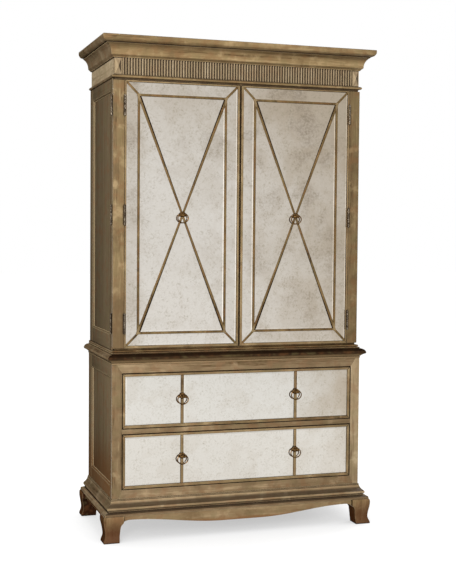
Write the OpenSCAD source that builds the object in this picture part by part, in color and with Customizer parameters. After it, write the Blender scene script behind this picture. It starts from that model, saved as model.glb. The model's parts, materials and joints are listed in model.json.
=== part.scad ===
// A two-part armoire: a mirrored cupboard with double-hinged doors, on a chest of two drawers.
// Z is up, X runs across the front and -Y points forwards. The origin is on the floor, in the
// middle of the footprint.

/* [Case] */
// Width of the upper case over its side frames
case_w = 1160; // [1000:1:1400]
// Depth of the upper case, from the door faces to the back
case_d = 503; // [430:1:640]
// How far the lower case stands out at each side of the upper one
step_side = 6; // [2:1:20]
// How far the lower case stands out in front of the doors
step_front = 21; // [12:1:40]
// Thickness of the side frames
side_t = 22; // [20:1:30]
// Thickness of the lower top, the lower bottom and the shelf
board_t = 20; // [16:1:25]
// Thickness of the back panels
back_t = 8; // [4:1:12]
// Depth that the side panels sit behind the faces of their frames
panel_recess = 9; // [3:1:12]

/* [Heights] */
// Height of the feet, up to the base moulding
foot_h = 115; // [108:1:150]
// Height of the base moulding
base_h = 69; // [64:1:80]
// Height of the lower rail between the base moulding and the drawers
low_rail_h = 36.5; // [25:0.5:60]
// Height of each drawer opening
opening_h = 246.5; // [200:0.5:300]
// Height of the rail between the drawers
mid_rail_h = 20.5; // [19:0.5:30]
// Height of the rail between the drawers and the waist moulding
high_rail_h = 39; // [30:1:60]
// Height of the waist moulding
waist_h = 49; // [44:1:60]
// Height of the bead at the foot of the upper case, with the recess over it
plinth_h = 16; // [14:1:24]
// Height of the space that the doors fill
door_space_h = 1168; // [900:1:1300]
// Height of the bead over the doors, with the recess under it
astragal_h = 20; // [19:1:28]
// Height of the reeded frieze
frieze_h = 74; // [50:1:100]
// Height of the crown moulding
crown_h = 90; // [80:1:110]

/* [Side frames] */
// Width of the front stile of an upper side frame
up_front_stile = 38; // [25:1:70]
// Width of the back stile of an upper side frame
up_back_stile = 60; // [40:1:90]
// Height of the top rail of an upper side frame, under the bead
up_top_rail = 45; // [38:1:90]
// Height of the bottom rail of an upper side frame, over the bead
up_low_rail = 59; // [40:1:90]
// Width of the front stile of a lower side frame, behind the face frame
low_front_stile = 20; // [15:1:60]
// Width of the back stile of a lower side frame
low_back_stile = 72; // [40:1:100]
// Height of the top rail of a lower side frame, under the waist moulding
low_top_rail = 57; // [40:1:90]
// Height of the bottom rail of a lower side frame, over the base moulding
low_low_rail = 52; // [35:1:90]

/* [Doors] */
// Thickness of the doors and of the hinged stiles
leaf_t = 22; // [20:1:28]
// Width of the hinged stile beside each door
stile_w = 50; // [40:1:80]
// Gap between the two doors
meet_gap = 4; // [3:0.5:6]
// Gap over and under the doors
door_gap = 2; // [1:0.5:4]
// Width of the wooden edge where the doors meet
edge_meet = 12; // [8:1:25]
// Width of the wooden edge at the hinges
edge_w = 7.5; // [6:0.5:20]
// Width of the wooden edge at the foot of a door
edge_low = 10.5; // [6:0.5:20]
// Width of the wooden edge at the top of a door
edge_top = 6; // [5:0.5:20]
// Thickness of the mirror panes
glass_t = 4; // [3:0.5:6]
// Depth of the mirror faces behind the faces of the bars
glass_recess = 3; // [1:0.5:5]
// Width of the bars between the door panes
bar_w = 10; // [8:0.5:16]
// Width of the outer band of panes
band_w = 50; // [35:1:80]
// How far the case laps behind the doors at the top and the bottom
door_lap = 8; // [5:1:15]

/* [Hinges] */
// Height of each hinge
hinge_h = 88; // [60:1:110]
// Distance from a door's end to the middle of the nearest hinge
hinge_end = 108; // [80:1:160]
// Outer radius of the hinge barrels
barrel_r = 3.5; // [3:0.1:4.5]
// Radius of the hinge pins
pin_r = 1.5; // [1.2:0.1:2]
// Radial play of a pin in its barrel
pin_play = 0.05; // [0.02:0.01:0.1]
// Gap between the barrels and the wood
barrel_gap = 0.5; // [0.4:0.1:1]
// Thickness of the hinge leaves
hinge_t = 1.5; // [1:0.1:2]
// Width of the hinge leaves that is let into the wood
hinge_w = 17; // [10:1:18]
// Gap between the two pieces of wood that a hinge joins
seam = 1; // [0.8:0.1:1.5]

/* [Drawers] */
// Width of the outer stiles of the face frame
face_stile = 43; // [30:1:60]
// Thickness of the face frame
face_t = 22; // [18:1:28]
// Gap round each drawer front
drawer_gap = 3; // [1.5:0.5:4]
// Thickness of the boards behind the drawer mirrors
front_board_t = 13; // [10:1:18]
// Width of the trim and of the two upright bars on a drawer front
trim_w = 13; // [10:1:20]
// Distance of the upright bars from the middle of a drawer
divider_x = 269; // [180:1:330]
// Thickness of the drawer sides and backs
box_t = 13; // [10:1:18]
// Height of the drawer sides
box_h = 190; // [120:1:195]
// Depth of the drawers behind their fronts
box_d = 440; // [300:1:445]
// Thickness of the drawer bottoms
box_bottom_t = 6; // [4:1:9]
// Height of a drawer bottom over the lower edge of the sides
box_bottom_z = 12; // [6:1:20]
// Play of a drawer between its guides, at each side
guide_play = 2; // [1:0.5:4]
// Play of a drawer over what it slides on
run_play = 0.3; // [0.2:0.1:0.5]
// Thickness of the dust board and of the lower runners
runner_t = 18; // [12:1:18]
// Width of the lower runners
runner_w = 48; // [40:1:70]
// Height of the drawer guides
guide_h = 30; // [15:1:50]

/* [Pulls] */
// Distance of a ring's pivot in front of the wood
pull_stand = 9; // [8:0.5:12]
// Half the width of the ring's centre line
ring_half_w = 24; // [23:0.5:28]
// Half the height of the ring's centre line
ring_half_h = 21; // [19:0.5:23]
// Height of the ring's pivot over the middle of the ring
ring_rise = 13; // [11:0.5:14]
// Radius of the ring's wire
wire_r = 2.5; // [2:0.1:2.8]
// Radius of the round turn at each side of the ring
ring_turn_r = 17; // [15:0.5:18]
// Radius of the ring's straight pin
ring_pin_r = 2; // [1.5:0.1:2]
// Half the width of the hub that holds the ring
hub_half_w = 13; // [8:0.5:14]
// Radius of the hub
hub_r = 7; // [5:0.5:7.5]
// Half the width of the crest behind the hub
crest_half_w = 20; // [17:0.5:24]
// Height of the crest's point over the pivot
crest_h = 15; // [12:0.5:18]
// Thickness of the crest
crest_t = 6; // [4:0.5:6]
// Radius of the screws that hold the pulls
screw_r = 2; // [1.5:0.1:2.5]
// Radius of the screw heads
screw_head_r = 4.5; // [4:0.5:6]

/* [Inside] */
// Clear height over the shelf
shelf_drop = 300; // [200:1:400]
// Depth of the shelf
shelf_d = 430; // [300:1:440]
// Play at each end of the shelf
shelf_play = 0.3; // [0.2:0.1:1]
// Radius of the shelf pins
shelf_pin_r = 2.5; // [2:0.1:3]
// Length of a shelf pin on each side of the wood's face
shelf_pin_l = 10; // [8:1:14]
// Height from the middle of the clothes rod to the shelf
rod_drop = 60; // [40:1:120]
// Radius of the clothes rod
rod_r = 13; // [10:0.5:16]
// Radial play of the rod in its sockets
rod_play = 0.05; // [0.02:0.01:0.1]
// Wall of the rod sockets
socket_wall = 4; // [3:0.5:6]
// Depth of the rod sockets
socket_l = 16; // [12:1:24]
// Radius of the socket flanges
flange_r = 27; // [24:1:34]
// Thickness of the socket flanges
flange_t = 4; // [3:0.5:6]
// Width, depth and height of a door catch
catch_size = [45, 22, 14]; // [10:1:60]
// Thickness of the plate that a catch holds
catch_plate_t = 0.7; // [0.4:0.1:0.8]

/* [Mouldings] */
// How far the crown stands out from the doors
crown_out = 57; // [48:1:60]
// How far the foot of the crown stands out
crown_foot = 12; // [8:1:18]
// How far the top of the crown's cove stands out
crown_step = 37; // [28:1:42]
// Height of the rounded band at the top of the crown
crown_band = 30; // [24:1:36]
// Depth of the frieze boards behind the doors' faces
frieze_in = 5; // [4:0.5:7]
// Thickness of the frieze boards and of the crown's top
frieze_t = 18; // [14:1:22]
// How far the bead over the doors stands out
astragal_out = 7.5; // [6:0.5:10]
// How far the bead under the doors stands out
plinth_out = 6; // [4:0.5:8]
// How far the waist moulding stands out
waist_out = 24; // [20:0.5:30]
// How far the base moulding stands out
base_out = 38.5; // [34:0.5:42]
// Number of reeds in each half of the frieze
reeds = 44; // [20:1:60]
// Width of the plain blocks at the ends of the frieze
block_w = 33; // [20:1:50]

/* [Feet and aprons] */
// How far the toes stand out
toe_out = 45; // [41:1:52]
// How far the feet stand out at their ankles
ankle_out = 36; // [28:0.5:38]
// Height of the ankles
ankle_z = 33; // [25:1:50]
// How far the feet stand out at their knees
knee_out = 44.5; // [40:0.5:50]
// Height of the knees
knee_z = 101; // [80:1:103]
// Radius of the worn lower edge of the toes
toe_round = 2; // [1:0.5:7]
// Distance of a foot's joint with the apron, inside the case's face
foot_in = 44; // [40:1:60]
// Distance of a toe's inner edge, inside the case's face
toe_in = 25; // [15:1:28]
// Distance of a foot's inner edge at the spring of the arch
spring_in = 30.5; // [28:0.5:36]
// Height at which the arch beside a foot springs
spring_z = 62; // [45:1:75]
// Width of the arch beside a foot
arch_w = 46; // [35:1:70]
// Height of the arch's crown over the floor
arch_z = 96; // [85:1:106]
// Height of the front apron's middle over the floor
apron_mid_z = 63.5; // [50:0.5:90]
// Half the width of the straight middle of the front apron
apron_flat = 90; // [40:1:200]
// How far the aprons stand out
apron_out = 31; // [26:1:34]
// Thickness of the aprons
apron_t = 20; // [14:1:22]
// Width of the back feet along the sides, at the top
back_foot_w = 80; // [70:1:110]

/* [Hidden] */
$fn = 48;

// Colours
wood = "#96805c";
dark_wood = "#5d4a35";
plain_wood = "#b3925f";
mirror_grey = "#c8c2b6";
brass = "#64502f";
steel = "#a9a9a5";

// Planes across the piece
half_w = case_w / 2;
lower_half = half_w + step_side;
open_half = lower_half - face_stile;
frieze_half = half_w - frieze_in;

// Planes from front to back, with the footprint centred on the origin
front_reach = max(step_front + toe_out, crown_out);
face_y = (front_reach - case_d) / 2;
back_y = face_y + case_d;
lower_y = face_y - step_front;
core_y = face_y + leaf_t + seam;
frame_back_y = lower_y + face_t;
frieze_y = face_y + frieze_in;

// Levels
base_z = foot_h;
low_rail_z = base_z + base_h;
lower_open_z = low_rail_z + low_rail_h;
mid_rail_z = lower_open_z + opening_h;
upper_open_z = mid_rail_z + mid_rail_h;
high_rail_z = upper_open_z + opening_h;
waist_z = high_rail_z + high_rail_h;
deck_z = waist_z + waist_h;
lower_top_z = deck_z - board_t;
doors_z = deck_z + plinth_h;
astragal_z = doors_z + door_space_h;
frieze_z = astragal_z + astragal_h;
crown_z = frieze_z + frieze_h;
top_z = crown_z + crown_h;
floor_z = doors_z + door_lap;
ceiling_z = astragal_z - door_lap;
shelf_z = ceiling_z - shelf_drop - board_t;
rod_z = shelf_z - rod_drop;

// The left door, from its hinge edge to the edge where the doors meet
door_x = [-half_w + stile_w + seam, -meet_gap / 2];
door_z = [doors_z + door_gap, astragal_z - door_gap];
field_x = [door_x[0] + edge_w, door_x[1] - edge_meet];
field_z = [door_z[0] + edge_low, door_z[1] - edge_top];
cross = [(field_x[0] + field_x[1]) / 2, (field_z[0] + field_z[1]) / 2];
inner_half = [(field_x[1] - field_x[0]) / 2 - band_w, (field_z[1] - field_z[0]) / 2 - band_w];
bars_t = glass_recess + glass_t;

// The hinge lines of the left stile and the left door
barrel_off = barrel_r + barrel_gap;
stile_pin = [-half_w - barrel_off, face_y + leaf_t + seam / 2];
door_pin = [-half_w + stile_w + seam / 2, face_y - barrel_off];
hinge_z = [door_z[0] + hinge_end, (door_z[0] + door_z[1]) / 2, door_z[1] - hinge_end];
knuckle_gap = 0.3;
pin_head_h = 1.6;
pin_head_r = barrel_r - 0.7;

// The ring: its turns at the sides meet a flatter bow below
turn_x = ring_half_w - ring_turn_r;
bow_r = (pow(turn_x, 2) + pow(ring_half_h, 2) - pow(ring_turn_r, 2))
    / (2 * (ring_half_h - ring_turn_r));
bow_up = bow_r - ring_half_h;
bow_angle = atan2(bow_up, turn_x);
top_angle = asin(ring_rise / ring_turn_r);
pin_half = turn_x + ring_turn_r * cos(top_angle);
joint_swell = 0.05;
ring_joint_r = wire_r + joint_swell;
screw_grip = 5;
screw_head_t = 2;
screw_head_taper = 1;

// Points of a foot's outline
joint_angle = acos((spring_in + arch_w - foot_in) / arch_w);
arch_centre = [-spring_in - arch_w, spring_z];
arch_r = [arch_w, arch_z - spring_z];
toe_lift = 2;
shoulder_in = 5;

// Half a turn of a cosine, from 0 to 1
function ease(t) = (1 - cos(180 * t)) / 2;
// Points of an elliptical arc
function arc(centre, r, from, to, n = 8) =
    [for (i = [0:n]) let (a = from + (to - from) * i / n)
        [centre[0] + r[0] * cos(a), centre[1] + r[1] * sin(a)]];
// Points of an S-curve from one level to the next, without its last point
function swing(from, to, n = 8) =
    [for (i = [0:n - 1]) let (t = i / n)
        [from[0] + (to[0] - from[0]) * ease(t), from[1] + (to[1] - from[1]) * t]];

// Points of a shallow hollow from one point to the next
function hollow(from, to, sag, n = 8) = let (d = to - from)
    [for (i = [0:n]) let (t = i / n)
        from + d * t + 4 * sag * t * (1 - t) * [-d[1], d[0]] / norm(d)];

// A block between two opposite corners
module block(lo, hi) {
    translate(lo) cube(hi - lo);
}

// The same thing at both sides
module both_sides() {
    children();
    mirror([1, 0, 0]) children();
}

// A section, outwards and up, run back along the left side
module along_left(x, y, length) {
    translate([-x, y, 0]) rotate([90, 0, 180]) linear_extrude(length) children();
}

function reversed(points) = [for (i = [len(points) - 1:-1:0]) points[i]];
// A half outline and its reflection, as one closed outline
function mirrored_outline(points) =
    concat(points, [for (p = reversed(points)) [-p[0], p[1]]]);

// A moulding round the front and both sides. Its section is a list of points, outwards from the
// wall and up, from the lower edge to the upper one.
module moulding(half_x, y, z, section, out, depth = 0) {
    height = section[len(section) - 1][1];
    length = back_y - y + out;
    across = [for (p = section) [half_x + p[0], p[1]]];
    along = [for (p = section) [p[0], p[1]]];
    translate([0, 0, z]) difference() {
        intersection() {
            translate([0, back_y, 0]) rotate([90, 0, 0]) linear_extrude(length)
                polygon(mirrored_outline(across));
            translate([half_x + out, y, 0]) rotate([90, 0, -90])
                linear_extrude(2 * (half_x + out))
                polygon(concat(along, [[y - back_y, height], [y - back_y, 0]]));
        }
        block([-half_x, y + depth, -1], [half_x, back_y + 1, height + 1]);
    }
}

// ---- Feet and aprons ----

// Inner edge of a foot, from its toe up to the joint with the apron
function foot_inner() = concat([[-foot_in, foot_h]],
    arc(arch_centre, arch_r, joint_angle, 0), [[-toe_in, 0]]);
// Outer S-curve of a foot, from the floor up to the base moulding
function foot_outer() = concat([[toe_out - toe_round, 0]],
    swing([toe_out, toe_lift], [ankle_out, ankle_z]),
    swing([ankle_out, ankle_z], [knee_out, knee_z]),
    arc([knee_out - shoulder_in, knee_z], [shoulder_in, foot_h - knee_z], 0, 90, 6));

module foot_outline() {
    polygon(concat(foot_inner(), foot_outer()));
}

// Side view of a back foot: plain behind, arched in front
module back_foot_outline() {
    back = back_foot_w - foot_in;
    polygon(concat(foot_inner(), [[back, 0], [back, foot_h]]));
}

module foot_front_left() {
    color(wood) intersection() {
        along_left(lower_half, lower_y - toe_out, toe_out + foot_in) foot_outline();
        translate([-lower_half + foot_in, lower_y, 0]) rotate([90, 0, -90])
            linear_extrude(toe_out + foot_in) foot_outline();
    }
}

module foot_front_right() {
    mirror([1, 0, 0]) foot_front_left();
}

module foot_back_left() {
    color(dark_wood) intersection() {
        along_left(lower_half, back_y - back_foot_w, back_foot_w) foot_outline();
        translate([-lower_half - toe_out, back_y - back_foot_w + foot_in, 0]) rotate([90, 0, 90])
            linear_extrude(toe_out + foot_in) back_foot_outline();
    }
}

module foot_back_right() {
    mirror([1, 0, 0]) foot_back_left();
}

// Lower edge of the front apron, from the middle out to the right foot
function apron_edge(n = 20) = let (end_x = lower_half + arch_centre[0]) concat(
    [for (i = [0:n - 1]) let (t = i / n)
        [apron_flat + (end_x - apron_flat) * t, apron_mid_z + (arch_z - apron_mid_z) * ease(t)]],
    [for (p = arc(arch_centre, arch_r, 90, joint_angle, 5)) [lower_half + p[0], p[1]]]);

module apron_outline() {
    polygon(mirrored_outline(concat(apron_edge(), [[lower_half - foot_in, foot_h]])));
}

// Side apron, from the joint with the front foot to the joint with the back foot
module side_apron_outline() {
    front = lower_y + foot_in;
    back = back_y - back_foot_w;
    ends = [for (p = arc(arch_centre, arch_r, joint_angle, 90, 5)) p + [foot_in, 0]];
    polygon(concat([[front, foot_h]], [for (p = ends) [front - p[0], p[1]]],
        [for (p = reversed(ends)) [back + p[0], p[1]]], [[back, foot_h]]));
}

module aprons() {
    color(wood) translate([0, lower_y - apron_out + apron_t, 0]) rotate([90, 0, 0])
        linear_extrude(apron_t) apron_outline();
    color(dark_wood) both_sides() translate([-lower_half - apron_out, 0, 0]) rotate([90, 0, 90])
        linear_extrude(apron_t) side_apron_outline();
}

// ---- Mouldings ----

// The sections run from the lower edge up, as distances outwards from the wall and heights.
// Between the beads and coves are narrow recesses, which keep the dark glaze.
function base_section() = let (
    step_h = 13,
    step_r = [8, 6],
    recess_in = 17.5,
    recess_h = 7,
    torus_r = 7.5,
    torus_in = 21,
    torus_z = step_h + recess_h + torus_r + 1,
    cove_foot = [base_out - 18.5, torus_z + torus_r],
    bead_r = [4.5, 5],
    top_h = 3,
    top_out = 0.5,
    bead_z = base_h - top_h - bead_r[1]) concat(
    [[base_out, 0]],
    arc([base_out - step_r[0], step_h - step_r[1]], step_r, 0, 90),
    [[base_out - recess_in, step_h + 1], [base_out - recess_in, step_h + recess_h]],
    arc([base_out - torus_in, torus_z], [torus_r, torus_r], -75, 60),
    hollow(cove_foot, [bead_r[0], bead_z - bead_r[1]], 3),
    arc([0, bead_z], bead_r, -70, 80),
    [[top_out, base_h - top_h], [top_out, base_h]]);

function waist_section() = let (
    fillet = [2.5, 5],
    recess = [1, 7],
    nose_z = waist_h - 24,
    nose_r = 5,
    top_recess = 6,
    top_r = [waist_out - 2, waist_h - top_recess - nose_z],
    top_out = 0.5) concat(
    [[fillet[0], 0], fillet, [recess[0], fillet[1]], recess],
    hollow([fillet[0], recess[1] + 1], [waist_out - nose_r + 0.5, nose_z - nose_r], 1),
    arc([waist_out - nose_r, nose_z], [nose_r, nose_r], -70, -10, 5),
    arc([waist_out - top_r[0], nose_z], top_r, 0, 90),
    [[top_out, waist_h - top_recess + 0.5], [top_out, waist_h]]);

function astragal_section() = let (
    bead_r = [6, 6],
    back_out = astragal_out - bead_r[0],
    fillet = 1,
    recess_in = 6,
    bead_z = astragal_h - fillet - bead_r[1]) concat(
    [[-recess_in, 0], [-recess_in, bead_z - bead_r[1]]],
    arc([back_out, bead_z], bead_r, -85, 80),
    [[back_out, astragal_h - fillet], [back_out, astragal_h]]);

function plinth_section() = let (
    bead_r = [4, 5],
    back_out = plinth_out - bead_r[0],
    recess_in = 10) concat(
    [[back_out, 0]],
    arc([back_out, bead_r[1]], bead_r, -70, 85),
    [[-recess_in, 2 * bead_r[1]], [-recess_in, plinth_h]]);

function crown_section() = let (
    foot_out = 1,
    fillet = 1,
    bead_h = 13,
    cove_end = 69,
    recess_h = 3,
    recess_in = 2.5,
    band_z = crown_h - crown_band,
    cove_h = band_z - recess_h - bead_h - fillet,
    cove_r = [(crown_step - crown_foot) / (1 - cos(cove_end)), cove_h / sin(cove_end)],
    band_foot = crown_step + 1,
    top_round = 3,
    flat_h = 6,
    round_r = [crown_out - band_foot, crown_band - flat_h - top_round]) concat(
    swing([foot_out, 0], [crown_foot, bead_h]),
    arc([crown_foot + cove_r[0], bead_h + fillet], cove_r, 180, 180 - cove_end),
    [[crown_step - recess_in, band_z - recess_h + 0.5], [crown_step - recess_in, band_z]],
    arc([band_foot, band_z + round_r[1]], round_r, -90, 0),
    arc([crown_out - top_round, crown_h - top_round], [top_round, top_round], 0, 90, 4));

module base_moulding() {
    color(wood) moulding(lower_half, lower_y, base_z, base_section(), base_out);
}

module waist_moulding() {
    color(wood) moulding(lower_half, lower_y, waist_z, waist_section(), waist_out);
}

module plinth_bead() {
    color(wood) moulding(half_w, face_y, deck_z, plinth_section(), plinth_out, core_y - face_y);
}

module astragal() {
    color(wood) moulding(half_w, face_y, astragal_z, astragal_section(), astragal_out,
        core_y - face_y);
}

// The crown stands on the frieze, which is set back a little
module crown_moulding() {
    section = [for (p = crown_section()) [p[0] + frieze_in, p[1]]];
    color(wood) moulding(frieze_half, frieze_y, crown_z, section, crown_out + frieze_in);
}

// ---- Frieze and top ----

module frieze_boards() {
    in_x = frieze_half - frieze_t;
    in_y = frieze_y + frieze_t;
    high_z = top_z - frieze_t;
    color(wood) block([-frieze_half, frieze_y, frieze_z], [frieze_half, in_y, high_z]);
    color(dark_wood) {
        both_sides() block([-frieze_half, in_y, frieze_z], [-in_x, back_y, high_z]);
        block([-in_x, back_y - frieze_t, frieze_z], [in_x, back_y, high_z]);
    }
}

module crown_top() {
    color(dark_wood) block([-frieze_half, frieze_y, top_z - frieze_t], [frieze_half, back_y, top_z]);
}

// Half-round reeds side by side on a thin backing
module frieze_reeding() {
    joint = 0.6;
    backing_t = 0.5;
    run = frieze_half - block_w - joint;
    pitch = run / reeds;
    reed_r = min(pitch / 2, frieze_in - backing_t);
    color(wood) both_sides() translate([joint, frieze_y, frieze_z]) linear_extrude(frieze_h) {
        translate([0, reed_r - frieze_in]) square([run, frieze_in - reed_r]);
        intersection() {
            for (i = [0:reeds - 1])
                translate([pitch * (i + 0.5), reed_r - frieze_in]) circle(reed_r);
            translate([0, -frieze_in]) square([run, reed_r]);
        }
    }
}

// End blocks, each with a diamond point inside a plain border
module frieze_blocks() {
    point_h = 7;
    border = 3.5;
    tip = 0.05;
    base_t = 1.5;
    color(wood) both_sides() translate([frieze_half - block_w / 2, frieze_y, frieze_z + frieze_h / 2])
        rotate([90, 0, 0]) {
            linear_extrude(base_t) square([block_w, frieze_h], center = true);
            translate([0, 0, base_t]) linear_extrude(point_h, scale = tip)
                square([block_w, frieze_h] - 2 * [border, border], center = true);
        }
}

// ---- Upper case ----

// A left side: stiles and rails round a panel that is set back
module framed_side(x, y, z, front, back, low, top) {
    difference() {
        block([-x, y[0], z[0]], [-x + side_t, y[1], z[1]]);
        block([-x - 1, y[0] + front, z[0] + low], [-x + panel_recess, y[1] - back, z[1] - top]);
    }
}

// Places of the shelf pins in the left side
module at_shelf_pins() {
    for (y = [core_y + up_front_stile / 2, back_y - up_back_stile / 2])
        translate([-half_w + side_t, y, shelf_z - shelf_pin_r]) rotate([0, 90, 0]) children();
}

module upper_side_left() {
    y = [core_y, back_y];
    z = [deck_z, frieze_z];
    low = plinth_h + up_low_rail;
    top = astragal_h + up_top_rail;
    color(dark_wood) difference() {
        framed_side(half_w, y, z, up_front_stile, up_back_stile, low, top);
        at_stile_hinges() leaf_seat();
        at_shelf_pins() translate([0, 0, -shelf_pin_l])
            cylinder(h = shelf_pin_l + 1, r = shelf_pin_r + pin_play);
    }
}

module upper_side_right() {
    mirror([1, 0, 0]) upper_side_left();
}

module upper_bottom() {
    color(plain_wood) block([-half_w + side_t, core_y, deck_z],
        [half_w - side_t, back_y - back_t, floor_z]);
}

module upper_top() {
    color(plain_wood) block([-half_w + side_t, core_y, ceiling_z],
        [half_w - side_t, back_y - back_t, frieze_z]);
}

module upper_back() {
    color(plain_wood) block([-half_w + side_t, back_y - back_t, deck_z],
        [half_w - side_t, back_y, frieze_z]);
}

module shelf() {
    x = half_w - side_t - shelf_play;
    y = back_y - back_t - shelf_play;
    color(plain_wood) block([-x, y - shelf_d, shelf_z], [x, y, shelf_z + board_t]);
}

// The middle of the rod, under the middle of the shelf
rod_y = back_y - back_t - shelf_d / 2;

module clothes_rod() {
    length = case_w - 2 * (side_t + flange_t + shelf_play);
    color(steel) translate([-length / 2, rod_y, rod_z]) rotate([0, 90, 0])
        cylinder(h = length, r = rod_r);
}

// Shelf pins, rod sockets and magnetic catches
module inner_fittings() {
    color(brass) both_sides() {
        at_shelf_pins() translate([0, 0, -shelf_pin_l])
            cylinder(h = 2 * shelf_pin_l, r = shelf_pin_r);
        translate([-half_w + side_t, rod_y, rod_z]) rotate([0, 90, 0]) difference() {
            union() {
                cylinder(h = flange_t, r = flange_r);
                cylinder(h = flange_t + socket_l, r = rod_r + socket_wall);
            }
            translate([0, 0, flange_t]) cylinder(h = socket_l + 1, r = rod_r + rod_play);
        }
        translate([-meet_gap / 2 - edge_meet - catch_size[0], core_y, ceiling_z - catch_size[2]])
            cube(catch_size);
    }
}

// ---- Hinges ----
// A hinge's own frame has its pin on Z and its seam along +X: the fixed leaf is on the +Y side of
// the seam and the moving leaf on the -Y side.

module at_stile_hinges() {
    for (z = hinge_z) translate([stile_pin[0], stile_pin[1], z]) children();
}

module at_door_hinges() {
    for (z = hinge_z) translate([door_pin[0], door_pin[1], z]) rotate(90) children();
}

// The room that a leaf takes in the wood
module leaf_seat() {
    block([0, 0, -hinge_h / 2], [barrel_off + hinge_w, seam / 2 + hinge_t, hinge_h / 2]);
}

// A plate with knuckles over the given stretches of the barrel
module hinge_leaf(stretches) {
    difference() {
        union() {
            block([barrel_off, seam / 2, -hinge_h / 2],
                [barrel_off + hinge_w, seam / 2 + hinge_t, hinge_h / 2]);
            for (s = stretches) {
                block([0, seam / 2, s[0]], [barrel_off, seam / 2 + hinge_t, s[1]]);
                translate([0, 0, s[0]]) cylinder(h = s[1] - s[0], r = barrel_r);
            }
        }
        translate([0, 0, -hinge_h]) cylinder(h = 2 * hinge_h, r = pin_r + pin_play);
    }
}

module fixed_leaf() {
    third = hinge_h / 6 + knuckle_gap / 2;
    hinge_leaf([[-hinge_h / 2, -third], [third, hinge_h / 2]]);
}

module moving_leaf() {
    third = hinge_h / 6 - knuckle_gap / 2;
    mirror([0, 1, 0]) hinge_leaf([[-third, third]]);
}

module hinge_pin() {
    translate([0, 0, -hinge_h / 2]) cylinder(h = hinge_h, r = pin_r);
    translate([0, 0, hinge_h / 2]) cylinder(h = pin_head_h, r1 = pin_head_r, r2 = pin_r);
    translate([0, 0, -hinge_h / 2 - pin_head_h])
        cylinder(h = pin_head_h, r1 = pin_r, r2 = pin_head_r);
}

module case_hinges() {
    color(brass) both_sides() at_stile_hinges() {
        fixed_leaf();
        hinge_pin();
    }
}

module stile_hinges_left() {
    color(brass) {
        at_stile_hinges() moving_leaf();
        at_door_hinges() {
            fixed_leaf();
            hinge_pin();
        }
    }
}

module stile_hinges_right() {
    mirror([1, 0, 0]) stile_hinges_left();
}

// Moving hinge leaves and the plate for the catch
module door_fittings_left() {
    plate_x = door_x[1] - edge_meet;
    color(brass) {
        at_door_hinges() moving_leaf();
        block([plate_x - catch_size[0], face_y + leaf_t, ceiling_z - catch_size[2]],
            [plate_x, face_y + leaf_t + catch_plate_t, ceiling_z]);
    }
}

module door_fittings_right() {
    mirror([1, 0, 0]) door_fittings_left();
}

// ---- Stiles and doors ----

module stile_left() {
    color(wood) difference() {
        block([-half_w, face_y, door_z[0]], [-half_w + stile_w, face_y + leaf_t, door_z[1]]);
        at_stile_hinges() mirror([0, 1, 0]) leaf_seat();
        at_door_hinges() leaf_seat();
    }
}

module stile_right() {
    mirror([1, 0, 0]) stile_left();
}

// The door's board, sunk for the mirrors and the bars
module door_left() {
    color(wood) difference() {
        block([door_x[0], face_y, door_z[0]], [door_x[1], face_y + leaf_t, door_z[1]]);
        block([field_x[0], face_y - 1, field_z[0]], [field_x[1], face_y + bars_t, field_z[1]]);
        at_door_hinges() mirror([0, 1, 0]) leaf_seat();
        at_door_pull() screw_hole(leaf_t);
    }
}

module door_right() {
    mirror([1, 0, 0]) door_left();
}

// Stands a drawing of the door's front, centred on the crossing, up behind the door's face
module on_door(depth, thickness) {
    translate([cross[0], face_y + depth + thickness, cross[1]]) rotate([90, 0, 0])
        linear_extrude(thickness) children();
}

module rectangle(half) {
    square(2 * half, center = true);
}

// A straight bar between two points
module bar(from, to, w) {
    v = to - from;
    translate(from) rotate(atan2(v[1], v[0])) translate([0, -w / 2]) square([norm(v), w]);
}

field_half = inner_half + [band_w, band_w];
inside_half = inner_half - [bar_w, bar_w];

// One of the four corners, as signs
corners = [[1, 1], [-1, 1], [-1, -1], [1, -1]];
function at_corner(half, i) = [half[0] * corners[i % 4][0], half[1] * corners[i % 4][1]];

// The short bar from a corner of the field to a corner of the inner frame
module corner_bar(i) {
    intersection() {
        difference() {
            rectangle(field_half);
            rectangle(inside_half);
        }
        bar(at_corner(inside_half, i), at_corner(field_half, i) * 1.1, bar_w);
    }
}

// A diagonal of the inner frame, from corner to corner
module diagonal(i) {
    intersection() {
        rectangle(inner_half);
        bar(at_corner(inner_half, i), at_corner(inner_half, i + 2), bar_w);
    }
}

module all_bars() {
    difference() {
        rectangle(inner_half);
        rectangle(inside_half);
    }
    for (i = [0:1]) diagonal(i);
    for (i = [0:3]) corner_bar(i);
}

module door_bars_left() {
    color(wood) difference() {
        on_door(0, bars_t) all_bars();
        at_door_pull() screw_hole(bars_t);
    }
}

module door_bars_right() {
    mirror([1, 0, 0]) door_bars_left();
}

module door_mirrors_left() {
    color(mirror_grey) on_door(glass_recess, glass_t) difference() {
        rectangle(field_half);
        all_bars();
    }
}

module door_mirrors_right() {
    mirror([1, 0, 0]) door_mirrors_left();
}

// ---- Pulls ----
// A pull's own frame has its pivot on X through the origin, and the wood's face at +Y.

// A screw's hole, from the wood's face through the given thickness
module screw_hole(thickness) {
    translate([0, pull_stand + thickness + 1, 0]) rotate([90, 0, 0])
        cylinder(h = thickness + 2, r = screw_r + pin_play);
}

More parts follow.
